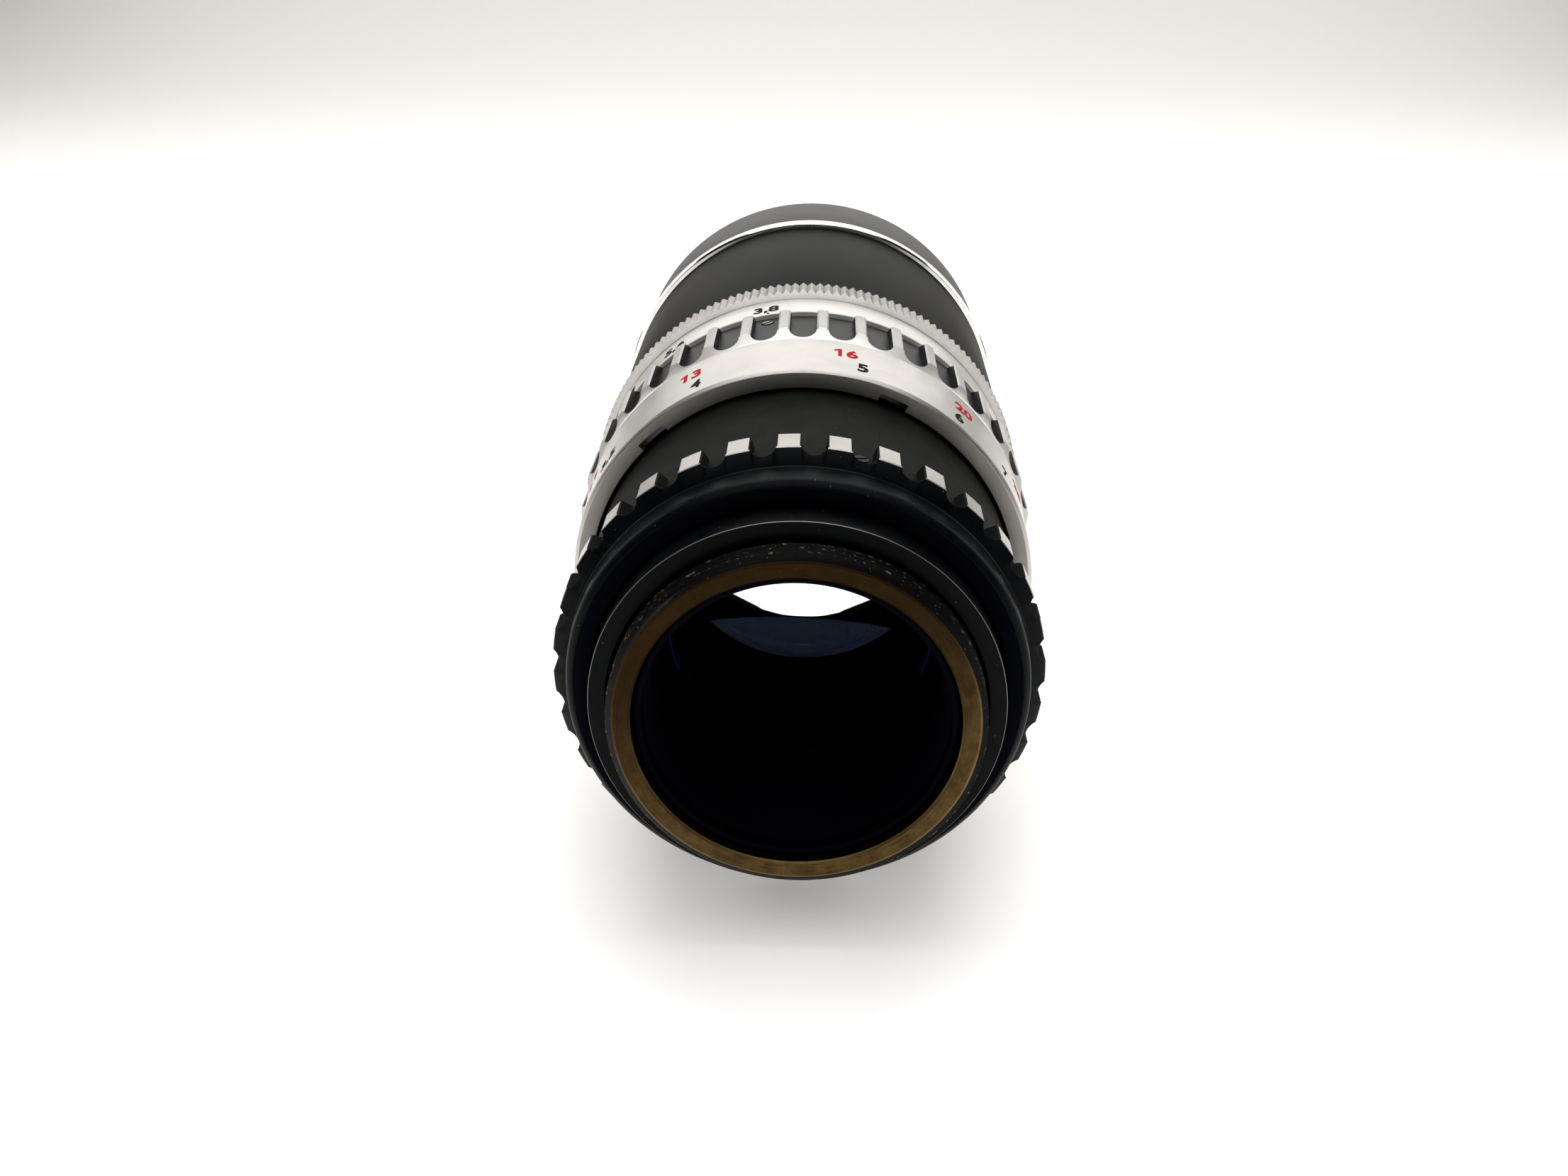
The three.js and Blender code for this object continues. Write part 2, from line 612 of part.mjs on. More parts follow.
/** Cone between the front glass and the hood. */
function nameRing() {
  const n = NAME_RING;
  return revolve([
    [n.boreR, n.y0],
    [n.flatR, n.y0],
    [n.rimR, n.coneY],
    [n.rimR, n.y1],
    [n.rimR - n.wall, n.y1],
    [n.boreR, n.y0 + 1],
  ], INNER_STEPS);
}

/** Short plain hood with an inner shoulder at its rear end. */
function frontHood() {
  const y0 = TRIM_Y1 + GAP;
  return revolve([
    [HOOD_SEAT_R, y0],
    [HOOD_R, y0],
    [HOOD_R, LENGTH - 1.5 * HOOD_EDGE],
    [HOOD_R - HOOD_EDGE, LENGTH],
    [HOOD_BORE_R + HOOD_EDGE, LENGTH],
    [HOOD_BORE_R, LENGTH - HOOD_EDGE],
    [HOOD_BORE_R, HOOD_SEAT_END],
    [HOOD_SEAT_R, HOOD_SEAT_END],
  ], OUTER_STEPS);
}

addPart('front_barrel', frontBarrel(), 'frontBlack');
addPart('trim_ring', trimRing(), 'chrome');
addPart('name_ring', nameRing(), 'innerBlack');
addPart('front_hood', frontHood(), 'rimGrey');

// Click stop of the preset ring: a ball pushed out by a spring.
const clickBall = new THREE.SphereGeometry(CLICK_BALL_R, 8, 6)
  .translate(0, CLICK_Y, DRUM_R - CLICK_BALL_R);
addPart('preset_click_ball', weld(atAzimuth(clickBall, CLICK_AZIMUTH)), 'steel');
const clickSpring = tube(CLICK_SPRING_BORE_R, CLICK_SPRING_R, 0, CLICK_SPRING_LENGTH, 8)
  .rotateX(Math.PI / 2)
  .translate(0, CLICK_Y, CLICK_POCKET_R + 0.25);
addPart('preset_click_spring', atAzimuth(clickSpring, CLICK_AZIMUTH), 'steel');

// ---------------------------------------------------------------- focusing ring

const sleeveScrewAzimuths = SLEEVE_SCREW_GROOVES.map(
  (n) => SLEEVE_GROOVE_AZIMUTH + (360 * n) / SLEEVE_GROOVES,
);

/** Sleeve with a plain scale band behind and a milled grip in front. */
function focusSleeve() {
  const bandRearR = SLEEVE_BAND_R - SLEEVE_REAR_BEVEL;
  const body = revolve([
    [SLEEVE_REAR_BORE_R, SLEEVE_Y0],
    [bandRearR - SLEEVE_REAR_BEVEL, SLEEVE_Y0],
    [bandRearR, SLEEVE_Y0 + SLEEVE_REAR_BEVEL],
    [SLEEVE_BAND_R, SLEEVE_BAND_END],
    [SLEEVE_LAND_R, SLEEVE_LAND_Y0],
    [SLEEVE_LAND_R, SLEEVE_LAND_Y1],
    [PRESET_R - RING_EDGE, SLEEVE_Y1],
    [SLEEVE_LIP_R, SLEEVE_Y1],
    [SLEEVE_LIP_R, SLEEVE_LIP_Y],
    [SLEEVE_BORE_R, SLEEVE_LIP_Y],
    [SLEEVE_BORE_R, SLEEVE_REAR_BORE_END],
    [SLEEVE_REAR_BORE_R, SLEEVE_REAR_BORE_END],
  ], SLEEVE_GROOVES, SLEEVE_GROOVE_AZIMUTH + 180 / SLEEVE_GROOVES);
  const slot = gripSlot(SLEEVE_GROOVE_W, SLEEVE_GROOVE_TIP_Y, SLEEVE_Y1 + 1, SLEEVE_GROOVE_FLOOR_R);
  const cutters = azimuths(SLEEVE_GROOVES, SLEEVE_GROOVE_AZIMUTH).map((a) => atAzimuth(slot, a));
  const notchEnd = SLEEVE_Y0 + SLEEVE_NOTCH_DEPTH;
  for (const notch of SLEEVE_NOTCHES) {
    const pocket = sector(SLEEVE_REAR_BORE_R - 0.7, SLEEVE_NOTCH_R, SLEEVE_Y0 - 1, notchEnd, notch.width, 3);
    cutters.push(atAzimuth(pocket, notch.at));
  }
  const hole = peg(SLEEVE_SCREW_R + GAP, SLEEVE_LIP_R - 1, SLEEVE_LAND_R + 1, SLEEVE_SCREW_Y);
  for (const a of sleeveScrewAzimuths) cutters.push(atAzimuth(hole, a));
  return cut(body, cutters);
}

addPart('focus_sleeve', focusSleeve(), 'satinSilver');
const helicoid = tube(BARREL_R + GAP, HELICOID_R, HELICOID_Y0, HELICOID_Y1, OUTER_STEPS);
addPart('focus_helicoid', helicoid, 'brass');
const sleeveScrewOuterR = SLEEVE_GROOVE_FLOOR_R - 0.15;
const sleeveScrew = grubScrew(SLEEVE_SCREW_R, SLEEVE_LIP_R + 0.2, sleeveScrewOuterR, SLEEVE_SCREW_Y);
sleeveScrewAzimuths.forEach((a, i) => {
  addPart(`sleeve_set_screw_${i + 1}`, atAzimuth(sleeveScrew, a), 'steel');
});

// ---------------------------------------------------------------- aperture rings

/** Preset ring with the blind hole that holds its stop pin. */
function presetRing() {
  const body = revolve([
    [RING_BORE_R, PRESET_Y0],
    [PRESET_R - RING_EDGE, PRESET_Y0],
    [PRESET_R, PRESET_Y0 + RING_EDGE],
    [PRESET_R, PRESET_Y1 - RING_EDGE],
    [PRESET_R - RING_EDGE, PRESET_Y1],
    [RING_BORE_R, PRESET_Y1],
  ], OUTER_STEPS);
  const holeLength = PRESET_Y1 + 1 - STOP_PIN_HOLE_Y;
  const hole = new THREE.CylinderGeometry(STOP_PIN_R + GAP, STOP_PIN_R + GAP, holeLength, 8)
    .translate(0, STOP_PIN_HOLE_Y + holeLength / 2, STOP_PIN_AT_R);
  return cut(body, [atAzimuth(hole, STOP_PIN_AZIMUTH)]);
}

/** Aperture ring with the channel that the stop pin runs in. */
function apertureRing() {
  const body = revolve([
    [RING_BORE_R, APERTURE_Y0],
    [PRESET_R, APERTURE_Y0],
    [APERTURE_R, APERTURE_Y0 + APERTURE_BEVEL],
    [APERTURE_R, APERTURE_Y1 - RING_EDGE],
    [APERTURE_R - RING_EDGE, APERTURE_Y1],
    [RING_BORE_R, APERTURE_Y1],
  ], OUTER_STEPS);
  const halfW = STOP_PIN_R + GAP;
  const channel = sector(
    STOP_PIN_AT_R - halfW, STOP_PIN_AT_R + halfW, APERTURE_Y0 - 1, STOP_CHANNEL_END, 2 * RING_TRAVEL + 8, 7,
  );
  return cut(body, [atAzimuth(channel, STOP_PIN_AZIMUTH)]);
}

addPart('preset_ring', presetRing(), 'satinSilver');
const stopPin = new THREE.CylinderGeometry(STOP_PIN_R, STOP_PIN_R, STOP_PIN_LENGTH, 8)
  .translate(0, STOP_PIN_Y, STOP_PIN_AT_R);
addPart('preset_stop_pin', weld(atAzimuth(stopPin, STOP_PIN_AZIMUTH)), 'steel');

addPart('aperture_ring', apertureRing(), 'satinSilver');
const drivePin = peg(DRIVE_PIN_R, IRIS_R + 0.1, RING_BORE_R - GAP, DRIVE_PIN_Y);
addPart('iris_drive_pin', weld(atAzimuth(drivePin, DRIVE_PIN_AZIMUTH)), 'steel');

// ---------------------------------------------------------------- iris

const bladeAzimuths = azimuths(BLADES, 0);

/** Plate with the holes that the blades turn in. */
function irisBase() {
  const plate = tube(IRIS_CLEAR_R, IRIS_R, IRIS_BASE_Y, IRIS_BASE_Y + IRIS_BASE_T, STOP_STEPS);
  const hole = new THREE.CylinderGeometry(PIN_R + GAP, PIN_R + GAP, 2 * IRIS_BASE_T, 6)
    .translate(0, IRIS_BASE_Y + IRIS_BASE_T, PIVOT_AT_R);
  return cut(plate, bladeAzimuths.map((a) => atAzimuth(hole, a)));
}

/** Ring that the aperture ring turns, with one radial slot for each blade. */
function irisRotor() {
  const plate = tube(ROTOR_BORE_R, IRIS_R - 0.1, ROTOR_Y0, ROTOR_Y1);
  const slot = new THREE.BoxGeometry(ROTOR_SLOT.width, ROTOR_SLOT.depth, ROTOR_SLOT.length)
    .translate(0, ROTOR_Y0, ROTOR_SLOT.atR);
  return cut(plate, azimuths(BLADES, ROTOR_SLOT.azimuth).map((a) => atAzimuth(slot, a)));
}

/** Curved blade, open, with its lug and pivot pin at the top of the lens. */
function irisBlade(y) {
  const midR = (BLADE_INNER_R + BLADE_OUTER_R) / 2;
  const half = (BLADE_OUTER_R - BLADE_INNER_R) / 2;
  const top = Math.PI / 2;
  const tip = top - rad(BLADE_SPAN);
  const arc = new THREE.Shape();
  arc.absarc(0, 0, BLADE_OUTER_R, top, tip, true);
  arc.absarc(midR * Math.cos(tip), midR * Math.sin(tip), half, tip, tip - Math.PI, true);
  arc.absarc(0, 0, BLADE_INNER_R, tip, top, false);
  arc.absarc(0, midR, half, top - Math.PI, top - 2 * Math.PI, true);
  const flat = { depth: BLADE_THICKNESS, bevelEnabled: false, curveSegments: 3 };
  const leaf = new THREE.ExtrudeGeometry(arc, flat).rotateX(top)
    .translate(0, y + BLADE_THICKNESS, 0);
  const lug = new THREE.BoxGeometry(2 * PIVOT_LUG_R, BLADE_THICKNESS, PIVOT_AT_R + PIVOT_LUG_R - midR)
    .translate(0, y + BLADE_THICKNESS / 2, (midR + PIVOT_AT_R + PIVOT_LUG_R) / 2);
  const pinEnd = IRIS_BASE_Y + PIN_DEPTH;
  const pin = new THREE.CylinderGeometry(PIN_R, PIN_R, y + BLADE_THICKNESS - pinEnd, 6)
    .translate(0, (y + BLADE_THICKNESS + pinEnd) / 2, PIVOT_AT_R);
  return join([leaf, lug, pin]);
}

addPart('iris_base', irisBase(), 'innerBlack');
addPart('iris_rotor', irisRotor(), 'bladeSteel');
addPart('iris_retaining_ring', tube(...IRIS_RETAINER), 'innerBlack');
bladeAzimuths.forEach((a, i) => {
  const firstLevel = IRIS_BASE_Y + IRIS_BASE_T + BLADE_CLEARANCE;
  const level = firstLevel + (i % BLADE_LEVELS) * BLADE_LEVEL_STEP;
  addPart(`iris_blade_${i + 1}`, atAzimuth(irisBlade(level), a), 'bladeSteel');
});

export default lens;
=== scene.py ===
"""Looks for a screw-mount telephoto lens lying on its side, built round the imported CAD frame.

Shapes are laid out in millimetres from the mount end, in lens coordinates: a radius from the
optical axis, a distance y along it from the mount, and an azimuth in degrees from the top
towards +X. place() turns them into metres in the row frame.
"""

import json
import math
from collections import namedtuple
from functools import cached_property

import bmesh
import bpy
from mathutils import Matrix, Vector

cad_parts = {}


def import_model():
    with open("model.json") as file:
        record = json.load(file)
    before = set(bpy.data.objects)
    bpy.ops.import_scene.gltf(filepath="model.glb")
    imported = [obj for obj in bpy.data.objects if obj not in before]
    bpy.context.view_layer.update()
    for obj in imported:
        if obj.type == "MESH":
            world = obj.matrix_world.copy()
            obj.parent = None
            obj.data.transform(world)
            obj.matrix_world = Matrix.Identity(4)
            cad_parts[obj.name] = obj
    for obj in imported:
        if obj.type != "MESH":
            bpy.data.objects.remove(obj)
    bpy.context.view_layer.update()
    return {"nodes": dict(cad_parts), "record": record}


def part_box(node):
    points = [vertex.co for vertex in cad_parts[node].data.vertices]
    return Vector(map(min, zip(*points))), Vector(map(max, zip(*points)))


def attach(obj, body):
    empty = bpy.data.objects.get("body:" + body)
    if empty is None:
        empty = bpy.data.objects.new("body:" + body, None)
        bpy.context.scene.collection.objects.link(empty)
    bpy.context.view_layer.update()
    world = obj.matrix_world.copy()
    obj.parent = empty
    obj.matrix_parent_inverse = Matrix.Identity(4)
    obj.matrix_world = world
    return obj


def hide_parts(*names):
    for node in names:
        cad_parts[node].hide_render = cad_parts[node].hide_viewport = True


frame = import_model()

MM = 0.001
MOUNT_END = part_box("mount_thread_ring")[0].y
trim_low, trim_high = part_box("trim_ring")
AXIS_Z = (trim_low.z + trim_high.z) / 2

FIXED = "fixed_body"
UNIT = "lens_unit"
FOCUS = "focus_ring"
PRESET = "preset_stop"
APERTURE = "aperture_control"


def place(azimuth, radius, y):
    """A point in the row frame from azimuth (degrees), radius and y (millimetres)."""
    a = math.radians(azimuth)
    return Vector((radius * math.sin(a) * MM, MOUNT_END + y * MM,
                   AXIS_Z + radius * math.cos(a) * MM))


def show(name, data):
    """A new object in the scene."""
    obj = bpy.data.objects.new(name, data)
    bpy.context.scene.collection.objects.link(obj)
    return obj


# ------------------------------------------------------------------ node helpers

class Nodes:
    """Short calls for building one material's node tree."""

    def __init__(self, name):
        self.material = bpy.data.materials.new(name)
        self.material.use_nodes = True
        self.tree = self.material.node_tree
        self.shader = self.tree.nodes["Principled BSDF"]

    def add(self, kind, **settings):
        node = self.tree.nodes.new(kind)
        for key, value in settings.items():
            setattr(node, key, value)
        return node

    def link(self, source, target):
        self.tree.links.new(source, target)

    def feed(self, target, value):
        """Connect a socket, or set a plain value."""
        if isinstance(value, bpy.types.NodeSocket):
            self.link(value, target)
        else:
            target.default_value = value

    def math(self, operation, a, b=0.0, clamp=False):
        node = self.add("ShaderNodeMath", operation=operation, use_clamp=clamp)
        self.feed(node.inputs[0], a)
        self.feed(node.inputs[1], b)
        return node.outputs[0]

    def times(self, a, b):
        return self.math("MULTIPLY", a, b)

    def plus(self, a, b):
        return self.math("ADD", a, b)

    @cached_property
    def metres(self):
        """The surface point in the row frame at rest."""
        return self.add("ShaderNodeTexCoord").outputs["Object"]

    @cached_property
    def position(self):
        """x, y and z in millimetres, from the point where the axis meets the mount end."""
        split = self.add("ShaderNodeSeparateXYZ")
        self.link(self.metres, split.inputs[0])
        return [self.times(self.math("SUBTRACT", socket, origin), 1 / MM)
                for socket, origin in zip(split.outputs, (0.0, MOUNT_END, AXIS_Z))]

    @cached_property
    def polar(self):
        """Azimuth in turns (-0.5 to 0.5), and y and radius in millimetres."""
        x, y, z = self.position
        turn = self.times(self.math("ARCTAN2", x, z), 1 / (2 * math.pi))
        return turn, y, self.math("SQRT", self.plus(self.times(x, x), self.times(z, z)))

    def vector(self, sockets):
        node = self.add("ShaderNodeCombineXYZ")
        for target, socket in zip(node.inputs, sockets):
            self.link(socket, target)
        return node.outputs[0]

    def scaled(self, sockets, factors):
        """A vector of three sockets, each times its factor."""
        return self.vector([self.times(s, f) for s, f in zip(sockets, factors)])

    def noise(self, vector, scale=1.0, detail=2.0, roughness=0.5):
        node = self.add("ShaderNodeTexNoise")
        self.link(vector, node.inputs["Vector"])
        node.inputs["Scale"].default_value = scale
        node.inputs["Detail"].default_value = detail
        node.inputs["Roughness"].default_value = roughness
        return node.outputs[0]

    def mottle(self, scale, detail, roughness=0.5):
        """Noise that is alike in every direction, with scale cells in a millimetre."""
        return self.noise(self.vector(self.position), scale, detail, roughness)

    def marks(self, per_turn, along, outward, detail=3.0, roughness=0.6):
        """Noise drawn out round or along the axis: cells in a turn and in a millimetre."""
        return self.noise(self.scaled(self.polar, (per_turn, along, outward)), 1.0,
                          detail, roughness)

    def spots(self, scale, size):
        """White round spots of a share of the cell size, on black."""
        node = self.add("ShaderNodeTexVoronoi")
        self.link(self.vector(self.position), node.inputs["Vector"])
        node.inputs["Scale"].default_value = scale
        return self.ramp(node.outputs["Distance"], size, size * 0.5)

    def ramp(self, value, low, high):
        """0 below low, 1 above high, smooth between; reversed when low is the larger."""
        node = self.add("ShaderNodeMapRange", interpolation_type="SMOOTHSTEP")
        self.feed(node.inputs["Value"], value)
        flipped = low > high
        node.inputs["From Min"].default_value = min(low, high)
        node.inputs["From Max"].default_value = max(low, high)
        node.inputs["To Min"].default_value = 1.0 if flipped else 0.0
        node.inputs["To Max"].default_value = 0.0 if flipped else 1.0
        return node.outputs["Result"]

    def blend(self, factor, a, b):
        """Colour a where factor is 0 and b where it is 1."""
        node = self.add("ShaderNodeMix", data_type="RGBA")
        self.feed(node.inputs["Factor"], factor)
        for target, value in ((node.inputs[6], a), (node.inputs[7], b)):
            plain = isinstance(value, tuple)
            self.feed(target, (*value, 1.0) if plain else value)
        return node.outputs[2]

    def clouded(self, pattern, a, b):
        """Colours a and b in soft patches that follow a noise pattern."""
        return self.blend(self.ramp(pattern, 0.3, 0.7), a, b)

    def span(self, factor, a, b):
        """A number running from a to b as factor goes from 0 to 1."""
        return self.plus(self.times(factor, b - a), a)

    def bump(self, height, distance):
        node = self.add("ShaderNodeBump")
        node.inputs["Strength"].default_value = 1.0
        node.inputs["Distance"].default_value = distance * MM
        self.link(height, node.inputs["Height"])
        self.link(node.outputs[0], self.shader.inputs["Normal"])

    def set(self, **values):
        """Set the shader's sockets, with _ for the spaces in their names."""
        for key, value in values.items():
            if isinstance(value, tuple):
                value = (*value, 1.0)
            self.feed(self.shader.inputs[key.replace("_", " ")], value)


# ------------------------------------------------------------------ materials

AROUND = (60, 14, 14)  # fine machining marks, as Nodes.marks takes them
LENGTHWISE = (2600, 0.5, 6)


def silver_finish(name, tint, roughness, direction=AROUND):
    """Satin bright metal with machining marks and faint stains."""
    n = Nodes(name)
    fine = n.marks(*direction)
    stains = n.ramp(n.mottle(0.9, 5.0, 0.7), 0.62, 0.78)
    stained, shaded = (tuple(c * share for c in tint) for share in (0.72, 0.9))
    body = n.clouded(n.mottle(0.16, 4.0, 0.6), shaded, tint)
    n.set(Base_Color=n.blend(n.times(stains, 0.55), body, stained), Metallic=1.0)
    n.set(Roughness=n.plus(n.span(fine, roughness - 0.06, roughness + 0.08),
                           n.times(stains, 0.15)))
    n.bump(fine, 0.012)
    return n.material


def black_coating():
    """Bluish-black semi-gloss coating with dust, fine scratches and turning marks."""
    n = Nodes("black_coating")
    fine = n.marks(50, 7, 7)
    cloud = n.mottle(0.35, 5.0, 0.65)
    dust = n.times(n.spots(1.1, 0.11), n.ramp(n.mottle(0.5, 3.0), 0.52, 0.66))
    scratch = n.ramp(n.marks(8, 5, 1, 2.0, 0.5), 0.71, 0.75)
    base = n.blend(n.ramp(cloud, 0.3, 0.75), (0.0010, 0.0015, 0.0022), (0.0030, 0.0046, 0.0062))
    marked = n.blend(n.times(scratch, 0.35), base, (0.03, 0.035, 0.04))
    n.set(Base_Color=n.blend(n.times(dust, 0.6), marked, (0.30, 0.27, 0.20)))
    n.set(Roughness=n.plus(n.span(cloud, 0.26, 0.46), n.times(dust, 0.4)))
    n.set(Specular_IOR_Level=0.12)
    n.bump(n.plus(fine, n.times(dust, 3.0)), 0.010)
    return n.material


def barrel_grey():
    """Matt dark grey paint with a fine grain."""
    n = Nodes("barrel_grey")
    grain = n.mottle(9.0, 3.0, 0.7)
    base = n.clouded(n.mottle(0.25, 4.0, 0.6), (0.006, 0.006, 0.006), (0.011, 0.011, 0.010))
    n.set(Base_Color=n.blend(n.times(n.spots(0.9, 0.07), 0.5), base, (0.25, 0.24, 0.22)))
    n.set(Roughness=n.span(grain, 0.50, 0.70), Specular_IOR_Level=0.07)
    n.bump(grain, 0.020)
    return n.material


def brass_finish():
    """Bare brass of the mount's rear face: mottled, with painted shade darker above and to the
    left, and lighter worn rims.
    """
    n = Nodes("worn_brass")
    x, _, z = n.position
    _, _, radius = n.polar
    patches = n.mottle(0.42, 6.0, 0.68)
    marks = n.marks(22, 6, 9, 4.0, 0.65)
    specks = n.ramp(n.mottle(2.6, 3.0, 0.7), 0.63, 0.72)
    base = n.clouded(patches, (0.058, 0.037, 0.014), (0.130, 0.087, 0.034))
    fine = n.ramp(n.mottle(1.9, 4.0, 0.7), 0.36, 0.66)
    tarnished = n.blend(n.times(fine, 0.35), base, (0.060, 0.035, 0.012))
    lined = n.blend(n.times(n.ramp(marks, 0.4, 0.7), 0.40), tarnished, (0.20, 0.14, 0.052))
    inner_rim, outer_rim = n.ramp(radius, 18.45, 18.2), n.ramp(radius, 19.9, 20.15)
    rim = n.math("ADD", inner_rim, outer_rim, clamp=True)
    worn = n.blend(n.times(rim, 0.6), lined, (0.27, 0.195, 0.085))
    # Painted shade: the brass is darkened towards the top and the left.
    painted_shade_above = n.ramp(n.math("SUBTRACT", z, n.times(x, 0.3)), -14.0, 12.0)
    shaded_brass = n.blend(n.times(painted_shade_above, 0.90), worn, (0.028, 0.015, 0.004))
    n.set(Base_Color=n.blend(n.times(specks, 0.7), shaded_brass, (0.045, 0.030, 0.012)))
    n.set(Metallic=n.span(specks, 0.92, 0.35), Roughness=n.span(patches, 0.62, 0.36))
    n.bump(n.plus(marks, n.times(patches, 0.8)), 0.025)
    return n.material


def thread_coating():
    """Black coating worn through to bright metal in flecks along the thread crests."""
    n = Nodes("thread_coating")
    _, _, radius = n.polar
    crest = n.ramp(radius, 20.78, 20.97)
    wear = n.times(crest, n.ramp(n.mottle(1.3, 5.0, 0.75), 0.55, 0.66))
    fine = n.marks(60, 8, 8)
    base = n.blend(wear, (0.003, 0.003, 0.004), (0.30, 0.25, 0.15))
    n.set(Base_Color=n.blend(n.times(n.spots(1.6, 0.10), 0.6), base, (0.40, 0.34, 0.22)))
    n.set(Metallic=wear, Roughness=n.span(fine, 0.34, 0.52), Specular_IOR_Level=0.15)
    n.bump(fine, 0.010)
    return n.material


def front_paint():
    """Satin dark paint of the front barrel, with faint turning marks."""
    n = Nodes("front_satin")
    fine = n.marks(30, 10, 10)
    grain = n.mottle(14.0, 2.0, 0.6)
    n.set(Base_Color=n.clouded(n.mottle(0.12, 4.0, 0.6),
                               (0.005, 0.005, 0.005), (0.009, 0.009, 0.008)))
    n.set(Roughness=n.span(grain, 0.40, 0.52), Specular_IOR_Level=0.05)
    n.bump(n.plus(n.times(fine, 0.6), grain), 0.008)
    return n.material


def hood_paint():
    """Mid grey satin metal of the hood."""
    n = Nodes("hood_satin")
    fine = n.marks(50, 12, 12)
    n.set(Base_Color=n.clouded(n.mottle(0.2, 4.0, 0.6),
                               (0.041, 0.041, 0.037), (0.052, 0.052, 0.047)))
    n.set(Metallic=0.35, Roughness=n.span(fine, 0.38, 0.52), Specular_IOR_Level=0.25)
    n.bump(fine, 0.010)
    return n.material


def chrome_finish():
    """Bright polished trim."""
    n = Nodes("bright_chrome")
    haze = n.mottle(0.6, 4.0, 0.6)
    n.set(Base_Color=n.blend(n.ramp(haze, 0.4, 0.7), (0.80, 0.80, 0.79), (0.70, 0.70, 0.68)))
    n.set(Metallic=1.0, Roughness=n.span(haze, 0.06, 0.16))
    n.bump(n.marks(20, 5, 5), 0.004)
    return n.material


def flat_black(name, low, high, roughness, shine=0.2):
    """Matt anti-reflection black with a fine grain, from colour low to high."""
    n = Nodes(name)
    grain = n.mottle(6.0, 4.0, 0.7)
    n.set(Base_Color=n.blend(grain, low, high), Roughness=n.span(grain, *roughness))
    n.set(Specular_IOR_Level=shine, Specular_Tint=(0.45, 0.55, 1.0))
    n.bump(n.plus(grain, n.marks(40, 6, 6)), 0.014)
    return n.material


def glass_finish(name, index, film, tint):
    """Clear element whose thin coating (nanometres) leaves its reflections blue and violet."""
    n = Nodes(name)
    haze = n.ramp(n.mottle(0.5, 4.0, 0.7), 0.62, 0.9)
    n.set(Base_Color=tint, Transmission_Weight=1.0, IOR=index, Roughness=n.times(haze, 0.03))
    n.set(Thin_Film_Thickness=film, Thin_Film_IOR=1.38)
    return n.material


def paint(name, colour):
    """Paint in the engraved numbers, slightly uneven."""
    n = Nodes(name)
    grain = n.mottle(4.0, 4.0, 0.7)
    dark, light = (tuple(min(1, c * share) for c in colour) for share in (0.75, 1.15))
    n.set(Base_Color=n.blend(grain, dark, light))
    n.set(Roughness=n.span(grain, 0.5, 0.8), Specular_IOR_Level=0.08)
    n.bump(grain, 0.01)
    return n.material


def steel_finish():
    """Plain screw steel with a little tarnish."""
    n = Nodes("screw_steel")
    grain = n.mottle(3.0, 4.0, 0.7)
    n.set(Base_Color=n.blend(grain, (0.22, 0.21, 0.20), (0.52, 0.51, 0.49)))
    n.set(Metallic=1.0, Roughness=n.span(grain, 0.28, 0.5))
    n.bump(grain, 0.02)
    return n.material


def blade_finish():
    """Blued spring steel of the iris."""
    n = Nodes("blade_steel")
    streaks = n.noise(n.scaled(n.position, (0.5, 4.0, 2.5)), 1.0, 3.0, 0.6)
    n.set(Base_Color=n.blend(streaks, (0.020, 0.020, 0.023), (0.055, 0.055, 0.062)))
    n.set(Metallic=0.7, Roughness=n.span(streaks, 0.34, 0.5))
    n.bump(streaks, 0.008)
    return n.material


silver = silver_finish("satin_silver", (0.66, 0.645, 0.615), 0.34)
band_silver = silver_finish("band_silver", (0.56, 0.545, 0.515), 0.34)
land_silver = silver_finish("land_silver", (0.43, 0.42, 0.39), 0.30, LENGTHWISE)
grip_silver = silver_finish("grip_silver", (0.44, 0.435, 0.42), 0.36, LENGTHWISE)
groove_silver = silver_finish("groove_silver", (0.030, 0.030, 0.031), 0.42, LENGTHWISE)
tooth_silver = silver_finish("tooth_silver", (0.36, 0.35, 0.33), 0.40, LENGTHWISE)
# Painted light: a lighter, rougher copy of the silver for rear faces, which look lit from behind
# the camera.
painted_lit_silver = silver_finish("painted_lit_silver", (0.78, 0.765, 0.73), 0.72)
dull_silver = silver_finish("rear_edge_metal", (0.41, 0.395, 0.37), 0.55)
dark_steel = silver_finish("dark_steel", (0.26, 0.25, 0.235), 0.45)
# Painted reflection: a blue metal for the baffle's lip, in place of blue reflections of the coated
# glass.
painted_blue_reflection = silver_finish("painted_blue_reflection", (0.010, 0.020, 0.16), 0.40)
black_coat = black_coating()
barrel_paint = barrel_grey()
brass = brass_finish()
thread_black = thread_coating()
front_satin = front_paint()
hood_satin = hood_paint()
chrome = chrome_finish()
inner_black = flat_black("inner_black", (0.001, 0.001, 0.002), (0.003, 0.003, 0.005),
                         (0.55, 0.75), 0.08)
cell_black = flat_black("cell_black", (0.001, 0.001, 0.005), (0.002, 0.003, 0.014),
                        (0.50, 0.65), 0.0)
baffle_black = flat_black("baffle_black", (0.004, 0.005, 0.018), (0.009, 0.011, 0.040),
                          (0.55, 0.70), 0.0)
name_black = flat_black("name_ring_black", (0.006, 0.006, 0.007), (0.014, 0.014, 0.015),
                        (0.30, 0.45))
rear_glass = glass_finish("rear_coated_glass", 1.52, 175.0, (0.95, 0.965, 1.0))
dense_glass = glass_finish("dense_coated_glass", 1.8, 170.0, (0.97, 0.975, 1.0))
inner_glass = glass_finish("inner_coated_glass", 1.62, 170.0, (0.97, 0.975, 1.0))
front_glass = glass_finish("front_coated_glass", 1.62, 175.0, (0.97, 0.98, 1.0))
steel = steel_finish()
blade_steel = blade_finish()
scale_red = paint("scale_red", (0.40, 0.014, 0.018))
scale_black = paint("scale_black", (0.007, 0.007, 0.007))


# ------------------------------------------------------------------ shape helpers

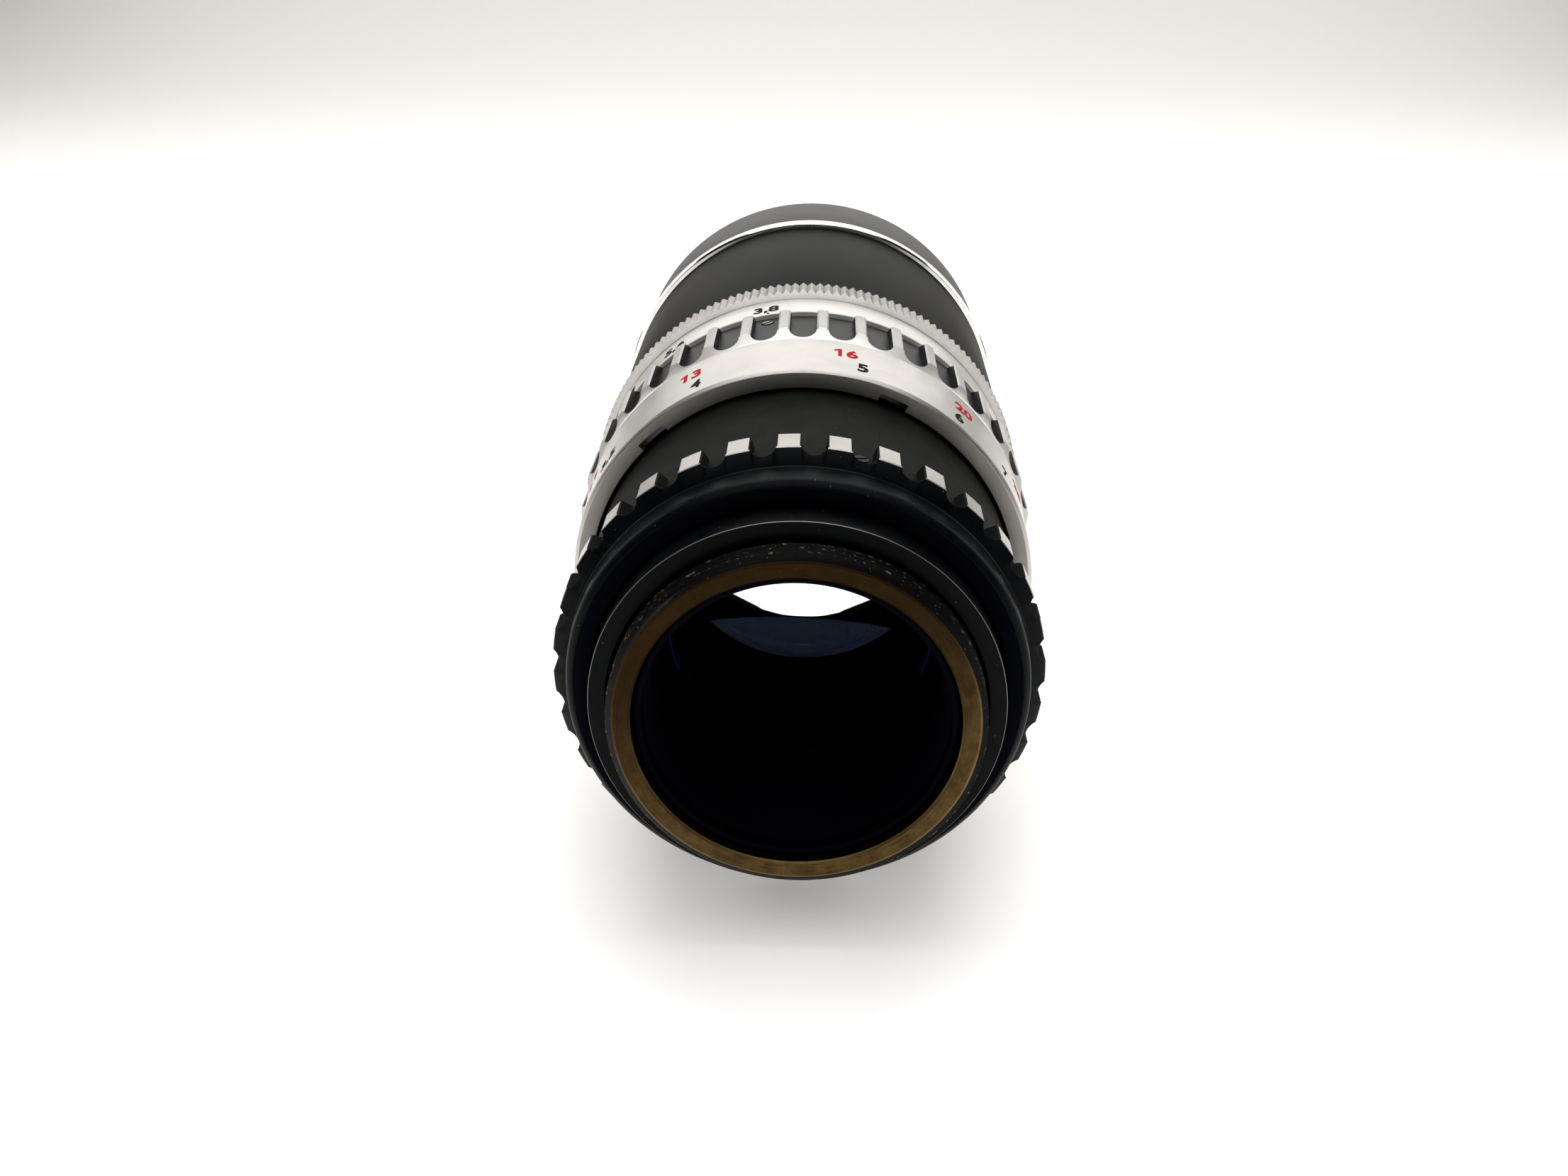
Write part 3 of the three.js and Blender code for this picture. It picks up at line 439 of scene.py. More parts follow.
SMOOTH = 216  # facets round a plain ring
SHARP = math.radians(24)  # an edge bent more than this is drawn sharp
MERGE = 0.0005 * MM  # points closer than this become one
BREAK = 0.01  # degrees between the two sides of a step in an outline
FILLET_STEPS = 3
GROOVE_STEPS = 10  # facets across a milled groove

# The middle of a face in lens coordinates, and its normal's parts along +Y and away from the axis.
Spot = namedtuple("Spot", "azimuth radius y forward outward")

# Number of grooves, azimuth of the first, width, y of the tip, radius of the floor, chamfer of
# the edges and length of the rounded end.
Grooves = namedtuple("Grooves", "count first width tip floor chamfer end")


def finish_mesh(name, bm, materials):
    """Turn a bmesh into a shown object with smooth faces and sharp corners."""
    bmesh.ops.remove_doubles(bm, verts=bm.verts, dist=MERGE)
    bmesh.ops.dissolve_degenerate(bm, edges=bm.edges, dist=MERGE)
    bmesh.ops.recalc_face_normals(bm, faces=bm.faces)
    mesh = bpy.data.meshes.new(name)
    bm.to_mesh(mesh)
    bm.free()
    for material in materials:
        mesh.materials.append(material)
    mesh.shade_smooth()
    mesh.set_sharp_from_angle(angle=SHARP)
    return show(name, mesh)


def spot_of(face):
    x, z = face.center.x / MM, (face.center.z - AXIS_Z) / MM
    a = math.atan2(x, z)
    outward = face.normal.x * math.sin(a) + face.normal.z * math.cos(a)
    return Spot(math.degrees(a), math.hypot(x, z), (face.center.y - MOUNT_END) / MM,
                face.normal.y, outward)


def skin(name, columns, materials, paint_by=None):
    """Closed ring through (azimuth, [(radius, y), ...]) columns of equal length.

    paint_by(spot) picks one of the materials for each face; without it all get the first."""
    bm = bmesh.new()
    rows = [[bm.verts.new(place(a, r, y)) for r, y in points] for a, points in columns]
    for i, row in enumerate(rows):
        following = rows[(i + 1) % len(rows)]
        for j in range(len(row)):
            k = (j + 1) % len(row)
            bm.faces.new((row[j], following[j], following[k], row[k]))
    obj = finish_mesh(name, bm, materials)
    if paint_by:
        for face in obj.data.polygons:
            face.material_index = materials.index(paint_by(spot_of(face)))
    return obj


def rounded(corners):
    """Closed outline of (radius, y[, fillet]) corners, each fillet turned into a short arc."""
    points = []
    count = len(corners)
    for i, corner in enumerate(corners):
        p = Vector(corner[:2])
        size = corner[2] if len(corner) > 2 else 0.0
        if not size:
            points.append((p.x, p.y))
            continue
        before = (Vector(corners[i - 1][:2]) - p).normalized()
        after = (Vector(corners[(i + 1) % count][:2]) - p).normalized()
        start, end = p + before * size, p + after * size
        for s in range(FILLET_STEPS + 1):
            t = s / FILLET_STEPS
            q = start.lerp(p, t).lerp(p.lerp(end, t), t)
            points.append((q.x, q.y))
    return points


def lathe(name, corners, materials, paint_by=None, steps=SMOOTH):
    """Plain ring turned from a closed outline."""
    outline = rounded(corners)
    columns = [(360 * i / steps, outline) for i in range(steps)]
    return skin(name, columns, materials, paint_by)


def ribs(count, first, pitch, shape):
    """Outline points of a rib, given as (radius, step in y), repeated from y = first."""
    return [(radius, first + pitch * k + step) for k in range(count) for radius, step in shape]


def piecewise(corners):
    """Radius as a function of y along (radius, y) corners."""
    def radius(y):
        if y <= corners[0][1]:
            return corners[0][0]
        for (r0, y0), (r1, y1) in zip(corners, corners[1:]):
            if y <= y1:
                return r0 + (r1 - r0) * (y - y0) / (y1 - y0)
        return corners[-1][0]
    return radius


def grooved(name, inner, outer, grooves, materials, paint_by, breaks=()):
    """Ring with milled grooves, round at the mount end and open at the front.

    inner(azimuth) closes the outline from the last outer corner back to the first, and breaks
    are the azimuths at which it steps."""
    count, first, width, tip, floor, chamfer, end = grooves
    body = piecewise(outer)
    stations = sorted({y for _, y in outer})
    half = width / 2
    reference = body(tip + width)

    def column(centre, x, in_groove):
        """Outline at x millimetres round from a groove's centre."""
        azimuth = centre + math.degrees(x / reference)
        if in_groove:
            start = tip + end * (1 - math.sqrt(max(0.0, 1 - (x / half) ** 2)))
            flat = floor / math.cos(x / reference)
            lip = max(body(start) - chamfer, flat)

            def cut(y):
                return min(body(y), flat)
        else:
            start = tip + end
            drop = chamfer * max(0.0, 1.0 - (abs(x) - half) / chamfer)

            def cut(y):
                return max(body(y) - drop, min(body(y), floor))
            lip = cut(start)
        before = start - chamfer
        points = [(body(min(y, before)), min(y, before)) for y in stations]
        points.append((body(before), before))
        points.append((lip, start))
        points += [(cut(max(y, start)), max(y, start)) for y in stations]
        return azimuth, points + inner(azimuth)

    columns = []
    for k in range(count):
        centre = first + 360 * k / count
        for x in (-half - chamfer, -half):
            columns.append(column(centre, x, False))
        for i in range(GROOVE_STEPS + 1):
            x = half * math.sin(math.pi * (i / GROOVE_STEPS - 0.5))
            columns.append(column(centre, x, True))
        land = 2 * math.pi * reference / count - width - 2 * chamfer
        for x in (half, half + chamfer, half + chamfer + land / 2):
            columns.append(column(centre, x, False))
    for azimuth in breaks:
        k = round((azimuth - first) * count / 360)
        centre = first + 360 * k / count
        for side in (-BREAK, BREAK):
            x = math.radians(azimuth + side - centre) * reference
            columns.append(column(centre, x, abs(x) < half))
    low = first - 180 / count
    columns = [((a - low) % 360 + low, points) for a, points in columns]
    columns.sort(key=lambda column: column[0])
    return skin(name, columns, materials, paint_by)


def prism(bm, outlines):
    """Add a closed solid between two matching outlines of points."""
    rings = [[bm.verts.new(point) for point in outline] for outline in outlines]
    for ring in rings:
        bm.faces.new(ring)
    for i in range(len(rings[0])):
        bm.faces.new((rings[0][i - 1], rings[0][i], rings[1][i], rings[1][i - 1]))


def add(obj, body, slot, *nodes):
    """Hang a piece on its body and let it stand for CAD nodes; slot is not used."""
    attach(obj, body)
    if nodes:
        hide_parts(*nodes)
    return obj


# ------------------------------------------------------------------ painted numbers

STRIPS = 12  # strips that a number is cut into so that it follows the ring
RAISED, SUNK = 0.03, -0.04  # millimetres from the ring to a number's top and underside
COMMA_WIDTH = 0.45  # as a share of a digit's

# In units of the type size.
TYPE_DEPTH, TYPE_BOLDER, TYPE_MERGE = 0.01, 0.028, 0.0001
BAR_HEIGHT, BAR_WIDTH = 0.5, 0.2  # the bar of a 1 is taller and narrower than these
UPSTROKE = ((0.03, 0.0), (-0.16, -0.13), (-0.16, -0.25), (0.03, -0.14))  # from the bar's top left


def islands(bm):
    """Lists of joined vertices."""
    left = dict.fromkeys(bm.verts)
    while left:
        found = [left.popitem()[0]]
        for v in found:
            for edge in v.link_edges:
                other = edge.other_vert(v)
                if other in left:
                    del left[other]
                    found.append(other)
        yield found


def add_upstrokes(bm):
    """Give each plain bar that stands for a 1 its short slanting upstroke."""
    for island in list(islands(bm)):
        xs, ys, zs = ([v.co[i] for v in island] for i in range(3))
        if max(ys) - min(ys) < BAR_HEIGHT or max(xs) - min(xs) > BAR_WIDTH:
            continue
        prism(bm, [[(min(xs) + x, max(ys) + y, z) for x, y in UPSTROKE]
                   for z in (min(zs), max(zs))])


def flat_text(name, text):
    """A number as a bmesh lying flat, in plain type."""
    curve = bpy.data.curves.new(name, "FONT")
    curve.body = text
    curve.extrude = TYPE_DEPTH
    curve.offset = TYPE_BOLDER
    curve.resolution_u = 4
    flat = show(name + "_flat", curve)
    bpy.context.view_layer.update()
    evaluated = flat.evaluated_get(bpy.context.evaluated_depsgraph_get())
    mesh = bpy.data.meshes.new_from_object(evaluated)
    bpy.data.objects.remove(flat)
    bpy.data.curves.remove(curve)
    bm = bmesh.new()
    bm.from_mesh(mesh)
    bpy.data.meshes.remove(mesh)
    bmesh.ops.remove_doubles(bm, verts=bm.verts, dist=TYPE_MERGE)
    return bm


def numeral(name, text, azimuths, ys, radius_at, material):
    """Painted number on a ring, fitted to a span of azimuth and y, its top towards the front."""
    bm = flat_text(name, text)
    add_upstrokes(bm)
    lows = [min(v.co[i] for v in bm.verts) for i in range(3)]
    highs = [max(v.co[i] for v in bm.verts) for i in range(3)]
    for i in range(1, STRIPS):
        cut = lows[0] + (highs[0] - lows[0]) * i / STRIPS
        bmesh.ops.bisect_plane(bm, geom=[*bm.verts, *bm.edges, *bm.faces], dist=TYPE_MERGE,
                               plane_co=(cut, 0, 0), plane_no=(1, 0, 0))
    for v in bm.verts:
        u = (v.co.x - lows[0]) / (highs[0] - lows[0])
        w = (v.co.y - lows[1]) / (highs[1] - lows[1])
        height = RAISED if v.co.z > (lows[2] + highs[2]) / 2 else SUNK
        y = ys[0] + w * (ys[1] - ys[0])
        v.co = place(azimuths[0] + u * (azimuths[1] - azimuths[0]), radius_at(y) + height, y)
    return finish_mesh(name, bm, [material])


def number_row(prefix, labels, ys, radius_at, material, body, digit_width):
    """A row of (text, azimuth) numbers centred on their azimuths, digit_width in degrees."""
    for text, azimuth in labels:
        digits = sum(COMMA_WIDTH if c == "," else 1.0 for c in text)
        half = digit_width * digits / 2
        name = prefix + text.replace(",", "_")
        number = numeral(name, text, (azimuth - half, azimuth + half), ys, radius_at, material)
        add(number, body, "satin_silver")


# ------------------------------------------------------------------ mount

THREAD_PITCH = 1.0
THREAD_CREST, THREAD_ROOT = 21.0, 20.42
THREAD_Y0, THREAD_Y1 = 0.35, 3.2
THREAD_TURNS = range(-2, 16)  # crests and roots, in half pitches, that can reach the thread
THREAD_FLAT = 0.06  # from the middle of a crest or root to its edge
THREAD_RELIEF = 20.4
MOUNT_BORE, MOUNT_FRONT = 18.15, 9.6
FLANGE_RADIUS = 23.3
LIP_PAINTED_REFLECTION = (62, 112)  # azimuths, left and right, over which the baffle's lip is painted blue as a painted reflection


def mount_ring():
    """Threaded brass ring: a real helix on the outside, bare brass on the end face."""
    def wave(phase):
        """Radius on the thread at a number of pitches along the helix."""
        t = abs((phase % 1.0) * 2 - 1)
        rise = min(1.0, max(0.0, 1.15 * t - 0.05))  # with flat crests and roots
        return THREAD_ROOT + (THREAD_CREST - THREAD_ROOT) * rise

    columns = []
    for i in range(SMOOTH + 1):
        turn = i / SMOOTH
        points = [(MOUNT_BORE, MOUNT_FRONT), (MOUNT_BORE, 0.25), (MOUNT_BORE + 0.25, 0.0),
                  (20.0, 0.0), (20.25, 0.12)]
        for k in THREAD_TURNS:
            for edge in (-THREAD_FLAT, THREAD_FLAT):
                y = THREAD_PITCH * (k / 2 + turn) + edge
                y = min(max(y, THREAD_Y0), THREAD_Y1)
                points.append((wave(y / THREAD_PITCH - turn), y))
        points += [(THREAD_RELIEF, THREAD_Y1 + 0.05), (THREAD_RELIEF, MOUNT_FRONT)]
        columns.append((360 * turn - (BREAK if i == SMOOTH else 0), points))

    def paint_by(spot):
        return brass if spot.y < 0.14 and spot.forward < -0.3 else thread_black

    return skin("mount_ring", columns, [brass, thread_black], paint_by)


def mount_parts():
    add(mount_ring(), FIXED, "brass", "mount_thread_ring")

    def paint_flange_highlight(spot):
        """Painted highlight: bare metal colour on the flange's outer rear edge, in place of the
        highlight along it.
        """
        return dark_steel if spot.radius > 23.2 and spot.y < 3.45 else black_coat

    flange = lathe("mount_flange_ring", [
        (20.75, 4.0), (21.4, 3.35), (FLANGE_RADIUS, 3.35, 0.2), (FLANGE_RADIUS, 10.2),
        (20.75, 10.2),
    ], [black_coat, dark_steel], paint_flange_highlight)
    add(flange, FIXED, "black_metal", "mount_flange")

    def paint_baffle(spot):
        # Painted reflection: the lip is painted blue only at its left and right sides.
        lip = spot.radius < 16.2 and spot.y < 22.75
        return painted_blue_reflection if lip and LIP_PAINTED_REFLECTION[0] < abs(spot.azimuth) < LIP_PAINTED_REFLECTION[1] else inner_black

    baffle = lathe("rear_light_baffle", [
        (17.8, 24.0), (17.8, 1.2, 0.2), (17.1, 1.2, 0.2),
        *ribs(24, 3.0, 0.8, ((17.1, 0.0), (16.75, 0.35), (17.1, 0.45))),
        (17.1, 22.4), (15.9, 22.4, 0.35), (15.9, 24.0),
    ], [inner_black, painted_blue_reflection], paint_baffle)
    add(baffle, FIXED, "inner_black", "rear_baffle")


# ------------------------------------------------------------------ fixed barrel with its collar

COLLAR_LAND = 28.46
COLLAR_END = 16.4
BARREL_RADIUS, BARREL_BORE = 26.8, 24.6
COLLAR_GROOVES = Grooves(count=32, first=3.3, width=2.9, tip=10.92, floor=26.8,
                         chamfer=0.14, end=0.6)


def fixed_parts():
    outer = [(26.4, 7.9), (26.55, 10.22), (26.62, 10.34), (28.36, 11.24), (COLLAR_LAND, 11.36),
             (COLLAR_LAND, 15.0), (28.36, 15.2), (26.88, 16.1), (BARREL_RADIUS, 16.2),
             (BARREL_RADIUS, COLLAR_END)]
    closing = [(BARREL_BORE, COLLAR_END), (BARREL_BORE, 13.0), (21.2, 13.0), (21.2, 10.5),
               (23.65, 10.5), (23.65, 6.95), (23.75, 6.85), (25.45, 6.85), (25.65, 6.92),
               (26.16, 7.3), (26.34, 7.58)]

    def paint_collar(spot):
        """Bare lands, black rear slope, barrel paint in front and in the grooves."""
        if spot.radius < 25.0:
            return inner_black
        if spot.radius > COLLAR_LAND - 0.07 and 11.2 < spot.y < 15.15:
            return land_silver
        if spot.y > 16.0 or (spot.y > 10.95 and spot.forward > -0.3):
            return barrel_paint
        return black_coat

    collar = grooved("grip_collar", lambda azimuth: closing, outer, COLLAR_GROOVES,
                     [black_coat, barrel_paint, land_silver, inner_black], paint_collar)
    add(collar, FIXED, "barrel_grey", "fixed_barrel")

    def paint_tube(spot):
        return inner_black if spot.radius < 25.0 else barrel_paint

    tube = lathe("fixed_barrel_tube", [
        (BARREL_BORE, COLLAR_END), (BARREL_RADIUS, COLLAR_END), (BARREL_RADIUS, 46.8, 0.1),
        (BARREL_BORE, 46.8),
    ], [barrel_paint, inner_black], paint_tube)
    add(tube, FIXED, "barrel_grey")


# ------------------------------------------------------------------ focusing sleeve

SLEEVE_GROOVES = Grooves(count=38, first=-0.5, width=3.55, tip=44.9, floor=29.35,
                         chamfer=0.22, end=1.775)
SLEEVE_REAR = 33.4
SLEEVE_NOTCHES = ((23.2, 7.6), (-41.9, 8.6))  # azimuth and width in degrees
NOTCH_RADIUS, NOTCH_END = 28.15, 35.0

FOCAL = 135.0
FOOT = 304.8
# Fitted to the numbers in the photo; the joint itself turns 41.9 degrees in a millimetre.
DEGREES_PER_MM = 39.4
INFINITY_AZIMUTH = 166.1


def sleeve_band(y):
    """Radius of the smooth numbered band."""
    return 29.5 + 0.4 * (y - 33.8) / (44.5 - 33.8)


def sleeve_inside(azimuth):
    """Inner outline of the sleeve, stepped wider at its rear end inside a notch."""
    outline = [(25.4, 56.0), (25.4, 52.7), (28.5, 52.7), (28.5, 36.0), (27.2, 36.0)]
    for at, width in SLEEVE_NOTCHES:
        if abs((azimuth - at + 180) % 360 - 180) < width / 2:
            return outline + [(27.2, NOTCH_END), (NOTCH_RADIUS, NOTCH_END),
                              (NOTCH_RADIUS, SLEEVE_REAR)]
    return outline + [(27.2, 33.5), (27.25, 33.42), (27.35, SLEEVE_REAR)]


def sleeve_parts():
    outer = [(29.02, SLEEVE_REAR), (29.15, 33.45), (29.5, 33.8), (29.9, 44.42), (29.97, 44.52),
             (30.64, 46.62), (30.7, 46.75), (30.7, 54.6), (30.66, 54.75), (29.75, 56.0)]

    def paint_by(spot):
        """Bright band and lands, dark groove floors and walls, dull rear face and inside."""
        if spot.radius < 29.05:
            return dull_silver
        wall = abs(spot.outward) < 0.3 and spot.radius < 30.6 and spot.y < 55.9
        if spot.y > 44.9 and (spot.radius < 29.45 or wall):
            return groove_silver
        return grip_silver if spot.y > 44.6 else band_silver

    breaks = [at + side * width / 2 for at, width in SLEEVE_NOTCHES for side in (-1, 1)]
    sleeve = grooved("focus_sleeve_body", sleeve_inside, outer, SLEEVE_GROOVES,
                     [band_silver, dull_silver, grip_silver, groove_silver], paint_by, breaks)
    add(sleeve, FOCUS, "satin_silver", "focus_sleeve")


def focus_azimuth(distance):
    """Azimuth on the sleeve of a distance in millimetres, with the sleeve at rest."""
    extension = 0.0
    for _ in range(6):
        extension = FOCAL ** 2 / (distance - 2 * FOCAL - extension)
    return INFINITY_AZIMUTH - DEGREES_PER_MM * extension


def distance_numbers():
    """Metres in black by the rear edge, feet in red in front of them."""
    rows = [
        ("metres_", "2,5 3 3,5 4 5 6 7 10 15 30", 1000, (35.3, 37.9), scale_black, 2.7),
        ("feet_", "9 10 11 13 16 20 25 30 50 100", FOOT, (39.2, 41.7), scale_red, 2.9),
    ]
    for prefix, texts, unit, ys, material, digit_width in rows:
        labels = [(t, focus_azimuth(float(t.replace(",", ".")) * unit)) for t in texts.split()]
        number_row(prefix, labels, ys, sleeve_band, material, FOCUS, digit_width)


# ------------------------------------------------------------------ aperture rings

RING_BORE = 26.95
PRESET_RADIUS = 29.95
PRESET_REAR, PRESET_FRONT = 56.35, 62.3
STOPS = (("3,8", -10.5), ("5,6", -37.15), ("8", -54.0), ("11", -64.8), ("16", -74.0),
         ("22", -82.0))

TEETH = 166
TOOTH_CREST, TOOTH_ROOT = 30.9, 30.48
TOOTH_PROFILE = ((0.0, TOOTH_ROOT), (0.42, TOOTH_CREST), (0.58, TOOTH_CREST))  # share of a tooth
TOOTHED_REAR, TOOTHED_FRONT = 62.6, 67.1
CHAMFER_END = 63.45  # where the chamfer reaches the crests


def preset_band(y):
    """Radius of the preset ring's numbered band, the same at every y."""
    return PRESET_RADIUS


def stop_numbers():
    number_row("stop_", STOPS, (56.95, 59.8), preset_band, scale_black, PRESET, 2.7)
    dot = numeral("stop_dot", ".", (-10.3, -9.5), (56.55, 56.9), preset_band, scale_black)
    add(dot, PRESET, "satin_silver")


def toothed_ring():
    """Aperture ring with fine straight teeth behind a chamfer."""
    slope = (CHAMFER_END - TOOTHED_REAR) / (TOOTH_CREST - PRESET_RADIUS)
    columns = []
    for k in range(TEETH):
        for share, radius in TOOTH_PROFILE:
            start = TOOTHED_REAR + (radius - PRESET_RADIUS) * slope
            end = TOOTHED_FRONT - 0.15 - 0.3 * (radius - TOOTH_ROOT)
            columns.append((360 * (k + share) / TEETH, [
                (RING_BORE, TOOTHED_FRONT), (RING_BORE, TOOTHED_REAR), (29.8, TOOTHED_REAR),
                (PRESET_RADIUS, TOOTHED_REAR + 0.05), (radius, start + 0.05), (radius, end),
                (TOOTH_ROOT - 0.1, TOOTHED_FRONT),
            ]))

    def paint_by(spot):
        if spot.y > 63.4 and spot.radius > 30.0:
            return tooth_silver
        # Painted light: the rear-facing chamfer faces get the lighter silver.
        return painted_lit_silver if spot.radius > 29.9 and spot.forward < -0.3 else silver

    return skin("aperture_ring_body", columns, [silver, tooth_silver, painted_lit_silver], paint_by)


def ring_parts():
    # Painted light: the rear face and its fillet get the lighter silver.
    preset = lathe("preset_ring_body", [
        (RING_BORE, PRESET_REAR), (PRESET_RADIUS, PRESET_REAR, 0.3),
        (PRESET_RADIUS, PRESET_FRONT, 0.12), (RING_BORE, PRESET_FRONT),
    ], [silver, painted_lit_silver], lambda spot: painted_lit_silver if spot.y < 56.6 else silver)
    add(preset, PRESET, "satin_silver", "preset_ring")
    add(toothed_ring(), APERTURE, "satin_silver", "aperture_ring")


# ------------------------------------------------------------------ set screws

SLOT_TILT = math.radians(35)
SLOT_GAP = math.asin(0.2)  # half the slot's width as a share of the screw's radius
SHADE_RING_MARGIN = 0.16
SHADE_DISC_DEPTH, SHADE_DISC_TOP = -0.10, 0.015  # from the wall around; the black disc of painted shade round each screw
HEAD_DEPTH, HEAD_TOP = -0.05, 0.09


def screw_heads(prefix, body, slot, azimuths, radius, y, size, material):
    """Slotted grub screws, each on a black disc of painted shade that stands for its shadowed hole,
    their tops just above the wall around them.
    """
    for number, azimuth in enumerate(azimuths, 1):
        bm = bmesh.new()

        def disc(size, angles, heights):
            prism(bm, [[place(azimuth + math.degrees(size * math.cos(t) / radius), radius + h,
                              y + size * math.sin(t)) for t in angles] for h in heights])

        turns = [2 * math.pi * i / 32 for i in range(32)]
        # Painted shade: a black disc, a little wider than the head, laid over the wall round each
        # screw.
        disc(size + SHADE_RING_MARGIN, turns, (SHADE_DISC_DEPTH, SHADE_DISC_TOP))
        for side in (0, math.pi):
            start, sweep = SLOT_TILT + side + SLOT_GAP, math.pi - 2 * SLOT_GAP
            disc(size, [start + sweep * i / 14 for i in range(15)], (HEAD_DEPTH, HEAD_TOP))
        materials = [inner_black, material]
        screw = finish_mesh(f"{prefix}_{number}_head", bm, materials)
        for face in screw.data.polygons:
            if spot_of(face).radius > radius + SHADE_DISC_TOP + 0.003:
                face.material_index = materials.index(material)
        add(screw, body, slot, f"{prefix}_{number}")


def thirds(first):
    """Three azimuths spread evenly."""
    return [first, first + 120, first + 240]


def grooves_at(grooves, picks):
    """Azimuths of some of a ring's grooves."""
    return [grooves.first + 360 * k / grooves.count for k in picks]


def screw_parts():
    screw_heads("mount_set_screw", FIXED, "steel", thirds(-25.5), FLANGE_RADIUS, 5.0, 0.8,
                black_coat)
    screw_heads("collar_set_screw", FIXED, "black_metal", grooves_at(COLLAR_GROOVES, (1, 11, 22)),
                COLLAR_GROOVES.floor, 14.0, 0.85, black_coat)
    screw_heads("sleeve_set_screw", FOCUS, "steel", grooves_at(SLEEVE_GROOVES, (-1, 12, 24)),
                SLEEVE_GROOVES.floor, 54.2, 0.75, dark_steel)


# ------------------------------------------------------------------ front of the lens

NAME_RING_STEPS = 10


def front_parts():
    barrel = lathe("front_barrel_shell", [
        (26.9, 67.4), (30.2, 67.4, 0.4), (30.2, 101.8, 0.15), (28.2, 101.8), (28.2, 74.6),
        (26.9, 73.0),
    ], [front_satin])
    add(barrel, UNIT, "front_black", "front_barrel")

    trim = lathe("trim_ring_body", [
        (28.2, 102.1), (31.0, 102.1, 0.4), (31.0, 104.7, 0.5), (28.2, 104.7),
    ], [chrome])
    add(trim, UNIT, "chrome", "trim_ring")

    def paint_hood(spot):
        return inner_black if spot.radius < 29.0 and spot.y < 119.3 else hood_satin

    hood = lathe("front_hood_body", [
        (27.0, 105.0), (30.4, 105.0, 0.15), (30.4, 119.7, 0.5), (28.7, 119.7, 0.25),
        *ribs(12, 118.2, -0.9, ((28.7, 0.0), (28.95, -0.45), (28.7, -0.9))),
        (28.7, 106.6), (27.0, 106.6),
    ], [hood_satin, inner_black], paint_hood)
    add(hood, UNIT, "hood_grey", "front_hood")

    name = [(20.6, 99.4), (22.4, 99.4), (27.8, 103.2), (27.8, 104.6, 0.2), (26.6, 104.6, 0.2)]
    for k in range(NAME_RING_STEPS):
        r = 26.3 - 0.55 * k
        y = 104.35 - 0.385 * k
        name += [(r, y), (r - 0.15, y - 0.4), (r - 0.4, y - 0.2)]
    name += [(20.6, 100.1, 0.1)]
    add(lathe("name_ring_body", name, [name_black]), UNIT, "inner_black", "name_ring")


# ------------------------------------------------------------------ glass

GLASS_ROUND, GLASS_RADIAL = 96, 24  # facets round an element and from its middle to its rim
GLASS_SHARP = math.radians(40)
POINT = 0.001  # radius of the closing point in the middle


def element(name, node, rim, rear, rear_bulge, front, front_bulge, material):
    """Glass element with smooth curved faces; a face meets the rim at rear or front."""
    rings = [rim * i / GLASS_RADIAL for i in range(1, GLASS_RADIAL + 1)]
    outline = [(POINT, rear + rear_bulge)]
    outline += [(r, rear + rear_bulge * (1 - (r / rim) ** 2)) for r in rings]
    outline += [(r, front + front_bulge * (1 - (r / rim) ** 2)) for r in reversed(rings)]
    outline += [(POINT, front + front_bulge)]
    columns = [(360 * i / GLASS_ROUND, outline) for i in range(GLASS_ROUND)]
    obj = skin(name, columns, [material])
    obj.data.set_sharp_from_angle(angle=GLASS_SHARP)
    add(obj, UNIT, "coated_glass", node)


def glass_parts():
    element("rear_glass", "rear_element", 16.5, 40.2, -1.6, 43.2, 0.9, rear_glass)
    element("third_glass", "third_element", 20.4, 68.8, -2.4, 73.6, 2.6, dense_glass)
    element("second_glass", "second_element", 21.3, 79.6, 1.0, 83.4, 3.4, inner_glass)
    element("front_glass", "front_element", 22.2, 88.4, 0.0, 91.4, 4.0, front_glass)


# ------------------------------------------------------------------ cells and rings round the glass

CELL_STEPS = 144
BORE_EDGE = 0.12


def box_ring(inner, outer, y0, y1):
    """Outline of a plain ring with its bore edges broken."""
    return [(inner, y0, BORE_EDGE), (outer, y0), (outer, y1), (inner, y1, BORE_EDGE)]


def cell_parts():
    """Smooth rings in place of the faceted ones that are seen through the glass."""
    rear_cell = [(15.2, 36.0, 0.15), (17.6, 36.0, 0.2), (17.6, 37.4), (20.4, 39.4), (20.4, 44.4),
                 (22.4, 44.4), (22.4, 47.6), (15.2, 47.6, 0.15), (15.2, 46.0), (16.9, 46.0),
                 (16.9, 38.0), (15.2, 37.2)]
    front_cell = [(19.6, 67.0, 0.12), (22.4, 67.0), (22.4, 74.0), (24.5, 74.0), (24.5, 99.0),
                  (22.6, 99.0, 0.1), (22.6, 87.8), (21.7, 87.8), (21.7, 79.0), (20.8, 79.0),
                  (20.8, 68.2), (19.6, 68.2)]
    baffle = [(22.4, 59.2), (22.4, 48.0), (18.8, 48.0),
              *ribs(14, 48.6, 0.72, ((18.8, 0.0), (18.3, 0.34), (18.8, 0.44))), (18.8, 59.2)]
    rings = [
        ("rear_cell", rear_cell, cell_black),
        ("rear_retaining_ring", box_ring(15.4, 16.55, 43.65, 45.65), cell_black),
        ("inner_baffle", baffle, baffle_black),
        ("front_cell", front_cell, inner_black),
        ("third_retaining_ring", box_ring(19.7, 20.45, 74.2, 76.0), inner_black),
        ("cell_spacer", box_ring(20.4, 21.35, 84.05, 87.8), inner_black),
        ("front_retaining_ring", box_ring(20.9, 22.25, 92.3, 94.6), name_black),
        ("iris_retaining_ring", box_ring(19.0, 22.4, 65.65, 66.65), inner_black),
    ]
    for node, outline, material in rings:
        ring = lathe(node + "_body", outline, [material], steps=CELL_STEPS)
        add(ring, UNIT, "inner_black", node)


# ------------------------------------------------------------------ CAD nodes that stay

